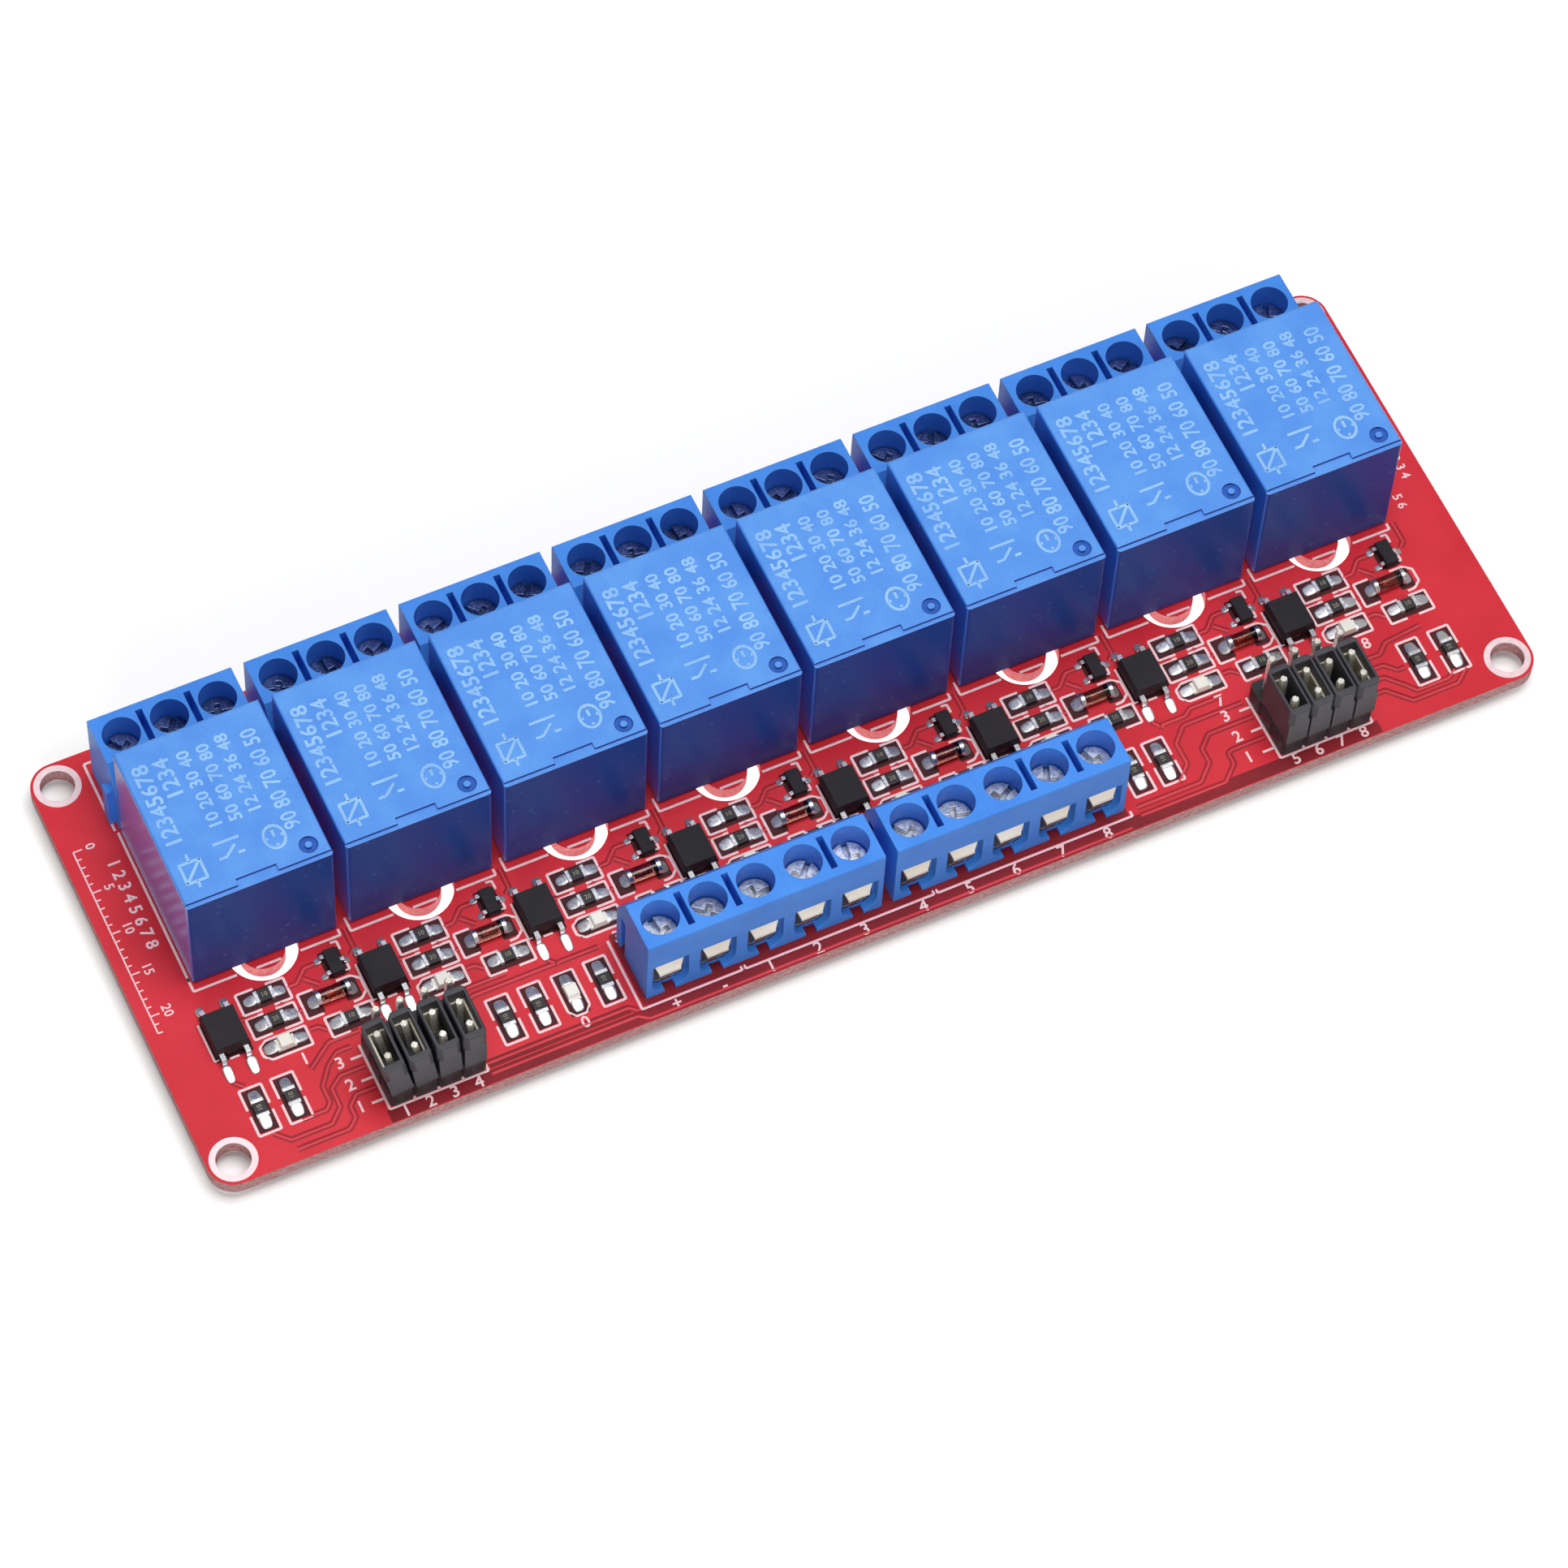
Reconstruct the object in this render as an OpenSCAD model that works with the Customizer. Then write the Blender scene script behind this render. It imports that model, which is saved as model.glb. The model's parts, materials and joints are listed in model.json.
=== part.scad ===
// Eight-channel relay module: a board with eight sealed relays in a row, eight
// three-way output terminals behind them, ten control terminals in front and
// two jumper banks. Z = 0 is the underside of the board, X runs along the row of
// relays and Y from the control side to the output side. The origin is the
// middle of the four mounting holes.

/* [Board] */
// Thickness of the board
board_t = 1.6; // [1.2:0.2:2.4]
// Depth of the strip of small parts between the control terminals and the relays
parts_d = 12.2; // [11.4:0.2:16]
// Distance from a mounting hole's centre to the two board edges beside it
hole_margin = 2.7; // [2.6:0.1:3.2]
// Diameter of the mounting holes
hole_d = 3.5; // [3:0.1:3.8]
// Outer diameter of the tinned ring around a mounting hole
ring_d = 4.8; // [4.4:0.1:5.4]
// Distance along X from the end of the relay row to the mounting holes
end_space = 3.1; // [3.1:0.1:6]
// Length of the soldered pin tails below the board
tail_h = 1.4; // [1:0.1:2.5]

/* [Relays] */
// Width of a relay
relay_w = 15.3; // [14:0.1:18]
// Depth of a relay
relay_d = 18.8; // [17:0.1:22]
// Height of a relay above the board
relay_h = 15.3; // [13:0.1:18]
// Gap between neighbouring relays
relay_gap = 1.3; // [1:0.1:3]
// Wall of the relay cover
cover_wall = 0.8; // [0.6:0.1:1.1]
// Radius of the relay cover's outer edges
cover_r = 0.35; // [0.2:0.05:0.5]
// Depth of the ledge along the top front edge of the cover
ledge_d = 0.4; // [0.3:0.05:0.6]
// Distance from the relay's front to its common pin
common_inset = 2.0; // [1.8:0.1:2.6]
// Distance from the relay's back to its contact pins
contact_inset = 2.6; // [2.2:0.1:3.2]
// Width of the milled isolation slot around the common pin
slot_w = 1.3; // [1:0.1:1.5]
// Outer radius of that slot
slot_r = 3.6; // [3.2:0.1:4]

/* [Screw terminals] */
// Distance from one wire entry to the next
way = 5.08; // [4.9:0.02:5.6]
// Height of a terminal housing
term_h = 10; // [9:0.1:12]
// Depth of a terminal housing
term_d = 7.2; // [6.8:0.1:8]
// Distance from the board edge to the wire face of a terminal
term_edge_gap = 2.5; // [2.2:0.1:3]
// Diameter of the screw well in the top of a terminal
well_d = 3.85; // [3.6:0.05:4]
// Gap around the screw's head in its well
head_gap = 0.12; // [0.08:0.02:0.3]
// Diameter of the terminal screw's shank
shank_d = 2.4; // [2:0.1:2.5]
// Gap between the two control terminal groups
input_gap = 1.28; // [1:0.02:3]

/* [Jumpers] */
// Pitch of the header pins
pin_pitch = 2.54; // [2.4:0.02:2.8]
// Side of a square header pin
pin_w = 0.64; // [0.5:0.02:0.7]
// Height of a header pin above its insulator
pin_h = 6.0; // [5.6:0.1:7]
// Height of the header insulator
strip_h = 2.5; // [2:0.1:3]
// Distance from the board's control edge to the header
header_edge_gap = 1.7; // [1.2:0.1:2]
// How far each header stands inwards of the middle between two channels
header_shift = 1.4; // [1:0.1:2]
// Gap between neighbouring jumper caps
cap_gap = 0.12; // [0.08:0.02:0.3]
// Length of a jumper cap
cap_l = 5.9; // [5.4:0.1:6.2]

/* [Small parts] */
// Length of a chip resistor or a lamp chip
chip_l = 2.0; // [1.8:0.1:2.2]
// Width of a chip resistor or a lamp chip
chip_w = 1.25; // [1:0.05:1.4]
// Height of a chip resistor
chip_h = 0.55; // [0.4:0.05:0.7]
// Height of a lamp chip
lamp_h = 0.9; // [0.7:0.05:1.1]
// Width of an optocoupler's body
opto_w = 3.7; // [3.4:0.1:4.4]
// Length of an optocoupler's body
opto_l = 4.4; // [4:0.1:5.2]
// Height of an optocoupler's body
opto_h = 2.0; // [1.8:0.1:2.8]
// Length of a transistor's body
transistor_l = 2.9; // [2.6:0.1:3.2]
// Diameter of a glass diode
diode_d = 1.5; // [1.3:0.05:1.7]
// Length of a glass diode with its end caps
diode_l = 3.5; // [3.2:0.1:3.8]

/* [Hidden] */
$fn = 48;
channels = 8;
CHANNEL = [1 : channels];

eps = 0.01;
snug = 0.05;       // clearance of a part that is pushed into its seat
loose = 0.2;       // clearance of a part that only stands beside another

// Terminals, in each housing's own frame: wire face at Y = 0, board at Z = 0
ways_out = 3;
input_ways = [3, 2, 2, 3];
screw_y = 2.8;            // wire face to screw axis
slope_d = 1.9;            // depth of the sloping back
top_d = term_d - slope_d;
shoulder_z = 6.6;         // height where the sloping back begins
lip = 0.15;               // chamfer along the top of the wire face
seat_depth = 4.6;         // depth of the screw head's seat below the top
seat_z = term_h - seat_depth;
head_d = well_d - 2 * head_gap;
head_h = 1.6;
cross_w = 0.6;            // width and depth of the screw's cross slot
cross_h = 0.8;
cross_l = 2.2;            // length of its shorter arm
neck_gap = 0.25;          // gap around the shank in the web below its head
entry_w = 3.9;            // width of a wire entry
entry_d = 1.0;            // depth of the entry in front of the frame
entry_rise = 0.3;         // top of a wire entry above the seat
entry_z = seat_z + entry_rise;
entry_floor = 0.35;
mouse_w = 1.2;            // width of the notch below a wire entry
floor_t = 0.5;
frame_w = 3.6;
frame_d = 3.6;
frame_z = floor_t + snug;
web_t = 0.65;             // web between the frame and the screw head's seat
frame_top = seat_z - web_t;
frame_wall = 0.45;
frame_roof = 0.8;
leg_w = 0.9;
leg_t = 0.6;
leg_y = entry_d + frame_d - leg_t / 2;
clamp_t = 0.35;
clamp_gap = 0.3;          // space above the leaf when the screw is backed out
clamp_z = frame_top - frame_roof - clamp_gap - clamp_t;
clamp_w = 2.3;
flap_w = 3.4;             // width of the leaf's turned-up end at its top
flap_y = 0.05;
flap_tilt = 14;           // how far that end leans back
flap_drop = 0.1;          // top of the turned-up end below the top of the entry
flap_top = entry_z - flap_drop;
tongue_in = 1.45;         // back of the housing to the middle of the dovetail
tongue_y = term_d - tongue_in;
tongue_l = 0.7;
tongue_root = 0.9;
tongue_tip = 1.3;
tongue_h = 6.2;
iso_w = 0.7;              // isolation slot between two screws
iso_l = 3.8;
iso_h = 3.4;

// Board: from the front, a terminal row, the small parts, the relays and a terminal row
term_row_d = term_edge_gap + term_d;
board_d = 2 * term_row_d + parts_d + relay_d + loose;
relay_pitch = max(relay_w + relay_gap, ways_out * way + tongue_l + loose);
front_y = -board_d / 2;
back_y = board_d / 2;
hole_x = channels * relay_pitch / 2 + end_space;
hole_y = back_y - hole_margin;
board_l = 2 * (hole_x + hole_margin);
ring_t = 0.1;
pin_bore = 0.2;    // how much wider a soldered pin's hole is than the pin
in_face_y = front_y + term_edge_gap;
out_face_y = back_y - term_edge_gap;
in_end_x = input_gap / 2 + 5 * way;
input_left = [-in_end_x, -in_end_x + 3 * way, input_gap / 2, input_gap / 2 + 2 * way];

// Relays
relay_front_y = front_y + term_row_d + parts_d;
relay_back_y = relay_front_y + relay_d;
relay_y = relay_back_y - relay_d / 2;
standoff = 0.3;
coil_step = 2.0;   // common pin to the coil pins
common_y = relay_front_y + common_inset;
coil_y = common_y + coil_step;
contact_y = relay_back_y - contact_inset;
side_pin_x = relay_w / 2 - 1.65;
relay_pin_d = 1.0;
relay_pin_y = [common_y, coil_y, coil_y, contact_y, contact_y];
relay_pin_x = [0, -side_pin_x, side_pin_x, -side_pin_x, side_pin_x];
slot_y = common_y - 1.0;
ledge_h = 0.35;
notch_w = 4.2;     // wider part of the ledge, in the middle
notch_d = 1.1;
vent_d = 1.9;      // round recess with a nub, for the vent
vent_nub_d = 0.7;
vent_h = 0.3;
vent_proud = 0.05; // how far the nub stands above the top
vent_inset = [1.9, 1.75];
base_t = 1.2;
foot_d = 1.2;
yoke_t = 1.2;
flange_t = 0.8;
armature_t = 0.9;
post_t = 0.5;      // thickness of the contact posts

// Jumpers
header_cols = 4;
header_rows = 3;
header_x = (channels / 2 - 1) * relay_pitch - header_shift;
header_d = header_rows * pin_pitch;
header_y = front_y + header_edge_gap + header_d / 2;
cap_y = header_y - pin_pitch / 2;
cap_w = pin_pitch - cap_gap;
cap_head_h = 2.4;
cap_chamfer = 0.5; // chamfer of the head's upright corners
cap_across = (cap_w + cap_l - 2 * cap_chamfer) / sqrt(2);
cap_clear = 0.04;
cap_step = 0.13;   // how much narrower a cap's body is than its head
cap_end = 0.7;     // wall at each end of the cap's pit
cap_floor = 1.0;
pit_w = 1.8;
contact_t = 0.2;
contact_h = 3.4;
// How far each cap leans to the left, in degrees
lean = [9, 6.5, 2.5, 0, 0, 0, 0, 0];

// Surface-mounted parts: places from the middle of the channel and from the relay's front
resistor_spots = [[-1.85, -4.05], [-1.85, -6.95], [5.0, -9.65]];
lamp_spot = [-1.95, -9.65];
transistor_spot = [5.7, -3.55];
diode_spot = [4.25, -6.7];
opto_x = -7.0;
terminal_l = 0.38;
lamp_side = 0.25;  // length of the base that shows at each end of the lens
lamp_slope = 0.15;
lead_t = 0.25;
opto_lift = 0.15;
opto_draft = 0.2;
opto_reach = 1.3;
opto_lead_w = 0.5;
opto_lead_x = 1.27;
opto_front_gap = 2.1;   // from the back of the front row to the optocoupler's front feet
opto_front_y = front_y + max(term_row_d, header_edge_gap + header_d) + opto_front_gap;
opto_y = opto_front_y + opto_reach + opto_l / 2;
transistor_w = 1.4;
transistor_h = 1.0;
transistor_lift = 0.08;
transistor_draft = 0.08;
transistor_reach = 0.55;
transistor_lead_w = 0.4;
transistor_lead_y = 0.95;
diode_lift = 0.05;
diode_cap_l = 0.4;

// Parts in the row along the control edge, beside the terminals and near the ends
edge_row_y = front_y + 6.0;
near_left = [2.95, 9.95, 13.4];
near_left_lamp = 6.45;
near_right = [2.95, 6.15];
far_left = [4.4, 7.7];
far_left_back = 0.6;
far_right = [4.9, 8.5];
edge_resistor_spots = concat(
    [for (d = far_left) [d - hole_x, edge_row_y + far_left_back]], [for (d = near_left) [-in_end_x - d, edge_row_y]],
    [for (d = near_right) [in_end_x + d, edge_row_y]], [for (d = far_right) [hole_x - d, edge_row_y]]);
power_lamp_x = -in_end_x - near_left_lamp;

function channel_x(k) = (k - (channels + 1) / 2) * relay_pitch;
function cap_x(k) = (k <= header_cols ? -header_x : header_x) + ((k - 1) % header_cols - 1.5) * pin_pitch;
function sum_to(v, n) = n == 0 ? 0 : v[n - 1] + sum_to(v, n - 1);

// ---- shared shapes ----

module rounded_plate(l, d, h, r) {
    for (flip = [0, 1])
        translate([-l / 2 + flip * r, -d / 2 + (1 - flip) * r, 0])
            cube([l - 2 * flip * r, d - 2 * (1 - flip) * r, h]);
    for (sx = [-1, 1], sy = [-1, 1])
        translate([sx * (l / 2 - r), sy * (d / 2 - r), 0])
            cylinder(h = h, r = r);
}

// A block whose upright and upper edges are all rounded
module soft_block(l, d, h, r) {
    intersection() {
        rounded_plate(l, d, h, r);
        translate([0, d / 2, h / 2 - r]) rotate([90, 0, 0]) rounded_plate(l, h + 2 * r, d, r);
        translate([-l / 2, 0, h / 2 - r]) rotate([90, 0, 90]) rounded_plate(d, h + 2 * r, l, r);
    }
}

module box_at(x, y, z, size) {
    translate([x - size[0] / 2, y - size[1] / 2, z]) cube(size);
}

module each_mounting_hole() {
    for (sx = [-1, 1], sy = [-1, 1])
        translate([sx * hole_x, sy * hole_y, 0]) children();
}

module each_relay_pin() {
    for (k = CHANNEL, i = [0 : len(relay_pin_x) - 1])
        translate([channel_x(k) + relay_pin_x[i], relay_pin_y[i], 0]) children();
}

module each_header_pin() {
    for (side = [-1, 1], c = [0 : header_cols - 1], r = [0 : header_rows - 1])
        translate([side * header_x + (c - (header_cols - 1) / 2) * pin_pitch,
                   header_y + (r - (header_rows - 1) / 2) * pin_pitch, 0]) children();
}

// Puts its children in the frame of each output or input way, on the board
module each_output_way() {
    for (k = CHANNEL, w = [0 : ways_out - 1])
        translate([channel_x(k) + (w - (ways_out - 1) / 2) * way, out_face_y, board_t])
            rotate([0, 0, 180]) children();
}

module each_input_way() {
    for (m = [0 : len(input_ways) - 1], w = [0 : input_ways[m] - 1])
        translate([input_left[m] + (w + 0.5) * way, in_face_y, board_t]) children();
}

// ---- board ----

module circuit_board() color([0.86, 0.16, 0.2]) {
    difference() {
        rounded_plate(board_l, board_d, board_t, hole_margin);
        each_mounting_hole() translate([0, 0, -eps]) cylinder(h = board_t + 2 * eps, d = hole_d);
        each_relay_pin() translate([0, 0, -eps])
            cylinder(h = board_t + 2 * eps, d = relay_pin_d + pin_bore, $fn = 24);
        each_header_pin() translate([0, 0, -eps])
            cylinder(h = board_t + 2 * eps, d = pin_w * sqrt(2) + pin_bore / 2, $fn = 24);
        for (side = [0, 1]) board_leg_holes(side);
        for (k = CHANNEL) translate([channel_x(k), slot_y, -eps]) isolation_slot(board_t + 2 * eps);
    }
}

module board_leg_holes(side) {
    hole = norm([leg_w, leg_t]) + pin_bore;
    if (side == 0)
        each_output_way() translate([0, leg_y, -board_t - eps])
            cylinder(h = board_t + 2 * eps, d = hole, $fn = 24);
    else
        each_input_way() translate([0, leg_y, -board_t - eps])
            cylinder(h = board_t + 2 * eps, d = hole, $fn = 24);
}

module isolation_slot(h) {
    middle_r = slot_r - slot_w / 2;
    rotate([0, 0, 180]) rotate_extrude(angle = 180)
        translate([slot_r - slot_w, 0]) square([slot_w, h]);
    for (s = [-1, 1]) translate([s * middle_r, 0, 0]) cylinder(h = h, d = slot_w, $fn = 24);
}

module mounting_hole_rings() color([0.93, 0.87, 0.87]) {
    each_mounting_hole() for (z = [-ring_t, board_t]) translate([0, 0, z]) difference() {
        cylinder(h = ring_t, d = ring_d);
        translate([0, 0, -eps]) cylinder(h = ring_t + 2 * eps, d = hole_d);
    }
}

// A cone of solder under the board around one pin; its child is the pin's section
module solder_cone(d) {
    h = tail_h - 0.3;
    difference() {
        translate([0, 0, -h]) cylinder(h = h, d1 = d + 0.3, d2 = d + 1.0, $fn = 24);
        translate([0, 0, -h - eps]) linear_extrude(h + 2 * eps) children();
    }
}

module solder_joints() color([0.75, 0.76, 0.78]) {
    each_relay_pin() solder_cone(relay_pin_d) circle(d = relay_pin_d, $fn = 24);
    each_header_pin() solder_cone(pin_w * sqrt(2)) square(pin_w, center = true);
    each_output_way() translate([0, leg_y, -board_t])
        solder_cone(norm([leg_w, leg_t])) square([leg_w, leg_t], center = true);
    each_input_way() translate([0, leg_y, -board_t])
        solder_cone(norm([leg_w, leg_t])) square([leg_w, leg_t], center = true);
}

// ---- relays ----

module relay_cover(k) color([0.27, 0.53, 0.93]) {
    h = relay_h - standoff;
    translate([channel_x(k), relay_y, board_t + standoff]) difference() {
        soft_block(relay_w, relay_d, h, cover_r);
        box_at(0, 0, -eps, [relay_w - 2 * cover_wall, relay_d - 2 * cover_wall, h - cover_wall + eps]);
        for (cut = [[relay_w + 2 * eps, ledge_d], [notch_w, notch_d]])
            box_at(0, -relay_d / 2, h - ledge_h, [cut[0], 2 * cut[1], ledge_h + eps]);
        translate([relay_w / 2 - vent_inset[0], vent_inset[1] - relay_d / 2, h - vent_h]) difference() {
            cylinder(h = vent_h + eps, d = vent_d);
            translate([0, 0, -eps]) cylinder(h = vent_h + 3 * eps, d = vent_nub_d, $fn = 24);
        }
    }
    translate([channel_x(k) + relay_w / 2 - vent_inset[0], relay_front_y + vent_inset[1], board_t + relay_h - eps])
        cylinder(h = vent_proud + eps, d = vent_nub_d, $fn = 24);
}

// The moulded base, with the coil, yoke, armature and contact posts that the
// sealed cover hides standing on it as one piece
module relay_base(k) color([0.12, 0.13, 0.2]) {
    inner_w = relay_w - 2 * (cover_wall + snug);
    inner_d = relay_d - 2 * (cover_wall + snug);
    flange_d = inner_w - 4;
    coil_d = flange_d - 1.2;
    armature_w = flange_d - 1.6;
    coil_in_y = flange_d / 2 + 1.6 - inner_d / 2;
    post_in_y = contact_y - relay_y - 1;
    coil_h = relay_h - standoff - cover_wall - loose - 1.4 - base_t;
    translate([channel_x(k), relay_y, board_t + standoff]) {
        box_at(0, 0, 0, [inner_w, inner_d, base_t]);
        for (sx = [-1, 1], sy = [-1, 1])
            translate([sx * (inner_w / 2 - 1), sy * (inner_d / 2 - 6), -standoff])
                cylinder(h = standoff + eps, d = foot_d, $fn = 24);
        translate([0, coil_in_y, base_t - eps]) {
            cylinder(h = coil_h, d = coil_d);
            for (z = [0, coil_h - flange_t]) translate([0, 0, z]) cylinder(h = flange_t, d = flange_d);
            box_at(0, (flange_d + yoke_t) / 2, 0, [armature_w, yoke_t, coil_h + eps]);
            box_at(0, yoke_t, coil_h - eps, [armature_w, flange_d + 2 * yoke_t, armature_t]);
        }
        for (x = [-side_pin_x + post_t, 0, side_pin_x - post_t])
            box_at(x, post_in_y, base_t - eps, [3 * post_t, post_t, 0.7 * coil_h]);
    }
}

module relay_pins() color([0.8, 0.81, 0.83]) {
    each_relay_pin() translate([0, 0, -tail_h])
        cylinder(h = tail_h + board_t + standoff, d = relay_pin_d, $fn = 24);
}

// ---- screw terminals ----

module terminal_outline(w) {
    rotate([90, 0, 90]) linear_extrude(w) polygon([
        [0, 0], [term_d, 0], [term_d, shoulder_z], [top_d, term_h], [lip, term_h], [0, term_h - lip]]);
}

// Dovetail section; grown by the clearance for the groove that takes it
module dovetail(grow) {
    linear_extrude(tongue_h + grow) polygon([
        [-eps, -tongue_root / 2 - grow], [tongue_l + grow, -tongue_tip / 2 - grow],
        [tongue_l + grow, tongue_tip / 2 + grow], [-eps, tongue_root / 2 + grow]]);
}

// What one way takes out of the housing, with the way's middle at X = 0
module way_cut() {
    translate([0, screw_y, seat_z]) cylinder(h = term_h, d = well_d);
    translate([0, screw_y, floor_t + eps]) cylinder(h = term_h, d = shank_d + 2 * neck_gap);
    box_at(0, entry_d + frame_d / 2, floor_t, [frame_w + 2 * snug, frame_d + 2 * snug, frame_top + snug - floor_t]);
    translate([0, entry_d, 0]) rotate([90, 0, 0]) linear_extrude(entry_d + eps) {
        translate([-entry_w / 2, entry_w / 2 + entry_floor]) square([entry_w, entry_z - entry_w / 2 - entry_floor]);
        translate([0, entry_w / 2 + entry_floor]) circle(d = entry_w);
        translate([-mouse_w / 2, -eps]) square([mouse_w, 2 * entry_floor]);
    }
    box_at(0, leg_y, -eps, [leg_w + pin_bore, leg_t + 2 * snug, floor_t + 2 * eps]);
}

// A housing of some ways, open at the wire face, with its left side at X = 0
module terminal_housing(ways) color([0.25, 0.52, 0.92]) {
    w = ways * way;
    difference() {
        union() {
            terminal_outline(w);
            translate([w, tongue_y, 0]) dovetail(0);
        }
        translate([0, tongue_y, -eps]) dovetail(snug);
        for (i = [0 : ways - 1]) translate([(i + 0.5) * way, 0, 0]) way_cut();
        for (i = [1 : 1 : ways - 1]) box_at(i * way, screw_y, term_h - iso_h, [iso_w, iso_l, iso_h + eps]);
    }
}

module output_terminal(k) {
    translate([channel_x(k) + ways_out * way / 2, out_face_y, board_t])
        rotate([0, 0, 180]) terminal_housing(ways_out);
}

module input_terminal(m) {
    translate([input_left[m - 1], in_face_y, board_t]) terminal_housing(input_ways[m - 1]);
}

// A captive screw with a cross slot, its tip on the clamp leaf
module terminal_screw(turn) {
    tip_z = clamp_z + clamp_t;
    translate([0, screw_y, 0]) difference() {
        union() {
            translate([0, 0, seat_z]) cylinder(h = head_h, d = head_d);
            translate([0, 0, tip_z]) cylinder(h = seat_z - tip_z + eps, d = shank_d);
        }
        translate([0, 0, seat_z + head_h - cross_h]) rotate([0, 0, turn]) {
            box_at(0, 0, 0, [cross_w, head_d + 2 * cross_w, cross_h + eps]);
            box_at(0, 0, 0, [cross_l, cross_w, cross_h + eps]);
        }
    }
}

// The leaf that the screw presses on the wire: flat in the frame, with its end
// turned up and leaning back across the wire entry
module wire_clamp() {
    root_w = clamp_w - 0.2;
    flap_h = (flap_top - clamp_z) / cos(flap_tilt);
    box_at(0, (flap_y + leg_y) / 2, clamp_z, [clamp_w, leg_y - flap_y, clamp_t]);
    translate([0, flap_y + clamp_t, clamp_z]) rotate([90 - flap_tilt, 0, 0]) linear_extrude(clamp_t) polygon([
        [-root_w / 2, 0], [root_w / 2, 0], [flap_w / 2, flap_h - clamp_t], [flap_w / 2, flap_h],
        [-flap_w / 2, flap_h], [-flap_w / 2, flap_h - clamp_t]]);
}

// The metal frame that the wire enters, with its leg down through the board
module terminal_frame() {
    difference() {
        box_at(0, entry_d + frame_d / 2, frame_z, [frame_w, frame_d, frame_top - frame_z]);
        box_at(0, entry_d + frame_d / 2, frame_z + frame_wall,
               [frame_w - 2 * frame_wall, frame_d + 1, frame_top - frame_roof - frame_z - frame_wall]);
        translate([0, screw_y, frame_z + frame_wall + eps]) cylinder(h = term_h, d = shank_d + 2 * snug);
    }
    translate([0, 0, -board_t - tail_h]) box_at(0, leg_y, 0, [leg_w, leg_t, board_t + tail_h + frame_z + eps]);
}

module output_terminal_screws() color([0.82, 0.83, 0.85]) {
    for (k = CHANNEL, w = [0 : ways_out - 1])
        translate([channel_x(k) + (w - (ways_out - 1) / 2) * way, out_face_y, board_t])
            rotate([0, 0, 180]) terminal_screw(37 * (k + 3 * w));
}

module input_terminal_screws() color([0.82, 0.83, 0.85]) {
    for (m = [0 : len(input_ways) - 1], w = [0 : input_ways[m] - 1])
        translate([input_left[m] + (w + 0.5) * way, in_face_y, board_t])
            terminal_screw(41 * (w + sum_to(input_ways, m)) + 10);
}

module output_wire_clamps() color([0.9, 0.9, 0.9]) each_output_way() wire_clamp();
module input_wire_clamps() color([0.9, 0.9, 0.9]) each_input_way() wire_clamp();
module output_terminal_frames() color([0.8, 0.8, 0.82]) each_output_way() terminal_frame();
module input_terminal_frames() color([0.8, 0.8, 0.82]) each_input_way() terminal_frame();

// ---- jumpers ----

// Stands its children on the header under cap k, leaning as that cap leans
module on_header(k) {
    translate([cap_x(k), cap_y, board_t + strip_h]) rotate([0, -lean[k - 1], 0]) children();
}

module header_strip(side) color([0.13, 0.13, 0.15]) {
    l = header_cols * pin_pitch;
    notch = 0.7 * pin_w;
    translate([side * header_x, header_y, board_t]) difference() {
        box_at(0, 0, 0, [l, header_d, strip_h]);
        for (c = [0 : header_cols], s = [-1, 1])
            translate([(c - header_cols / 2) * pin_pitch, s * header_d / 2, -eps]) rotate([0, 0, 45])
                box_at(0, 0, 0, [notch, notch, strip_h + 2 * eps]);
        for (r = [0 : header_rows], s = [-1, 1])
            translate([s * l / 2, (r - header_rows / 2) * pin_pitch, -eps]) rotate([0, 0, 45])
                box_at(0, 0, 0, [notch, notch, strip_h + 2 * eps]);
        for (c = [0 : header_cols - 1], r = [0 : header_rows - 1])
            box_at((c - (header_cols - 1) / 2) * pin_pitch, (r - (header_rows - 1) / 2) * pin_pitch, -eps,
                   [pin_w + 2 * eps, pin_w + 2 * eps, strip_h + 2 * eps]);
    }
}

// Straight through the board and the insulator, and leaning with the cap above
module header_pins() color([0.82, 0.8, 0.72]) {
    each_header_pin() box_at(0, 0, -tail_h, [pin_w, pin_w, tail_h + board_t + strip_h]);
    for (k = CHANNEL) {
        root = pin_w / 2 * tan(abs(lean[k - 1])) + eps;
        for (s = [-1, 1]) on_header(k) translate([0, s * pin_pitch / 2, -root]) pin_top(pin_h + root);
        translate([cap_x(k), header_y + pin_pitch, board_t + strip_h - eps]) pin_top(pin_h);
    }
}

// The upper end of a pin, with its tip tapered
module pin_top(h) {
    tip = 0.8 * pin_w;
    intersection() {
        box_at(0, 0, 0, [pin_w, pin_w, h]);
        for (turn = [0, 90]) rotate([90, 0, turn]) translate([0, 0, -pin_w]) linear_extrude(2 * pin_w) polygon([
            [-pin_w / 2 - eps, -eps], [pin_w / 2 + eps, -eps], [pin_w / 2 + eps, h - tip],
            [pin_w / 4, h + eps], [-pin_w / 4, h + eps], [-pin_w / 2 - eps, h - tip]]);
    }
}

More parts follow.
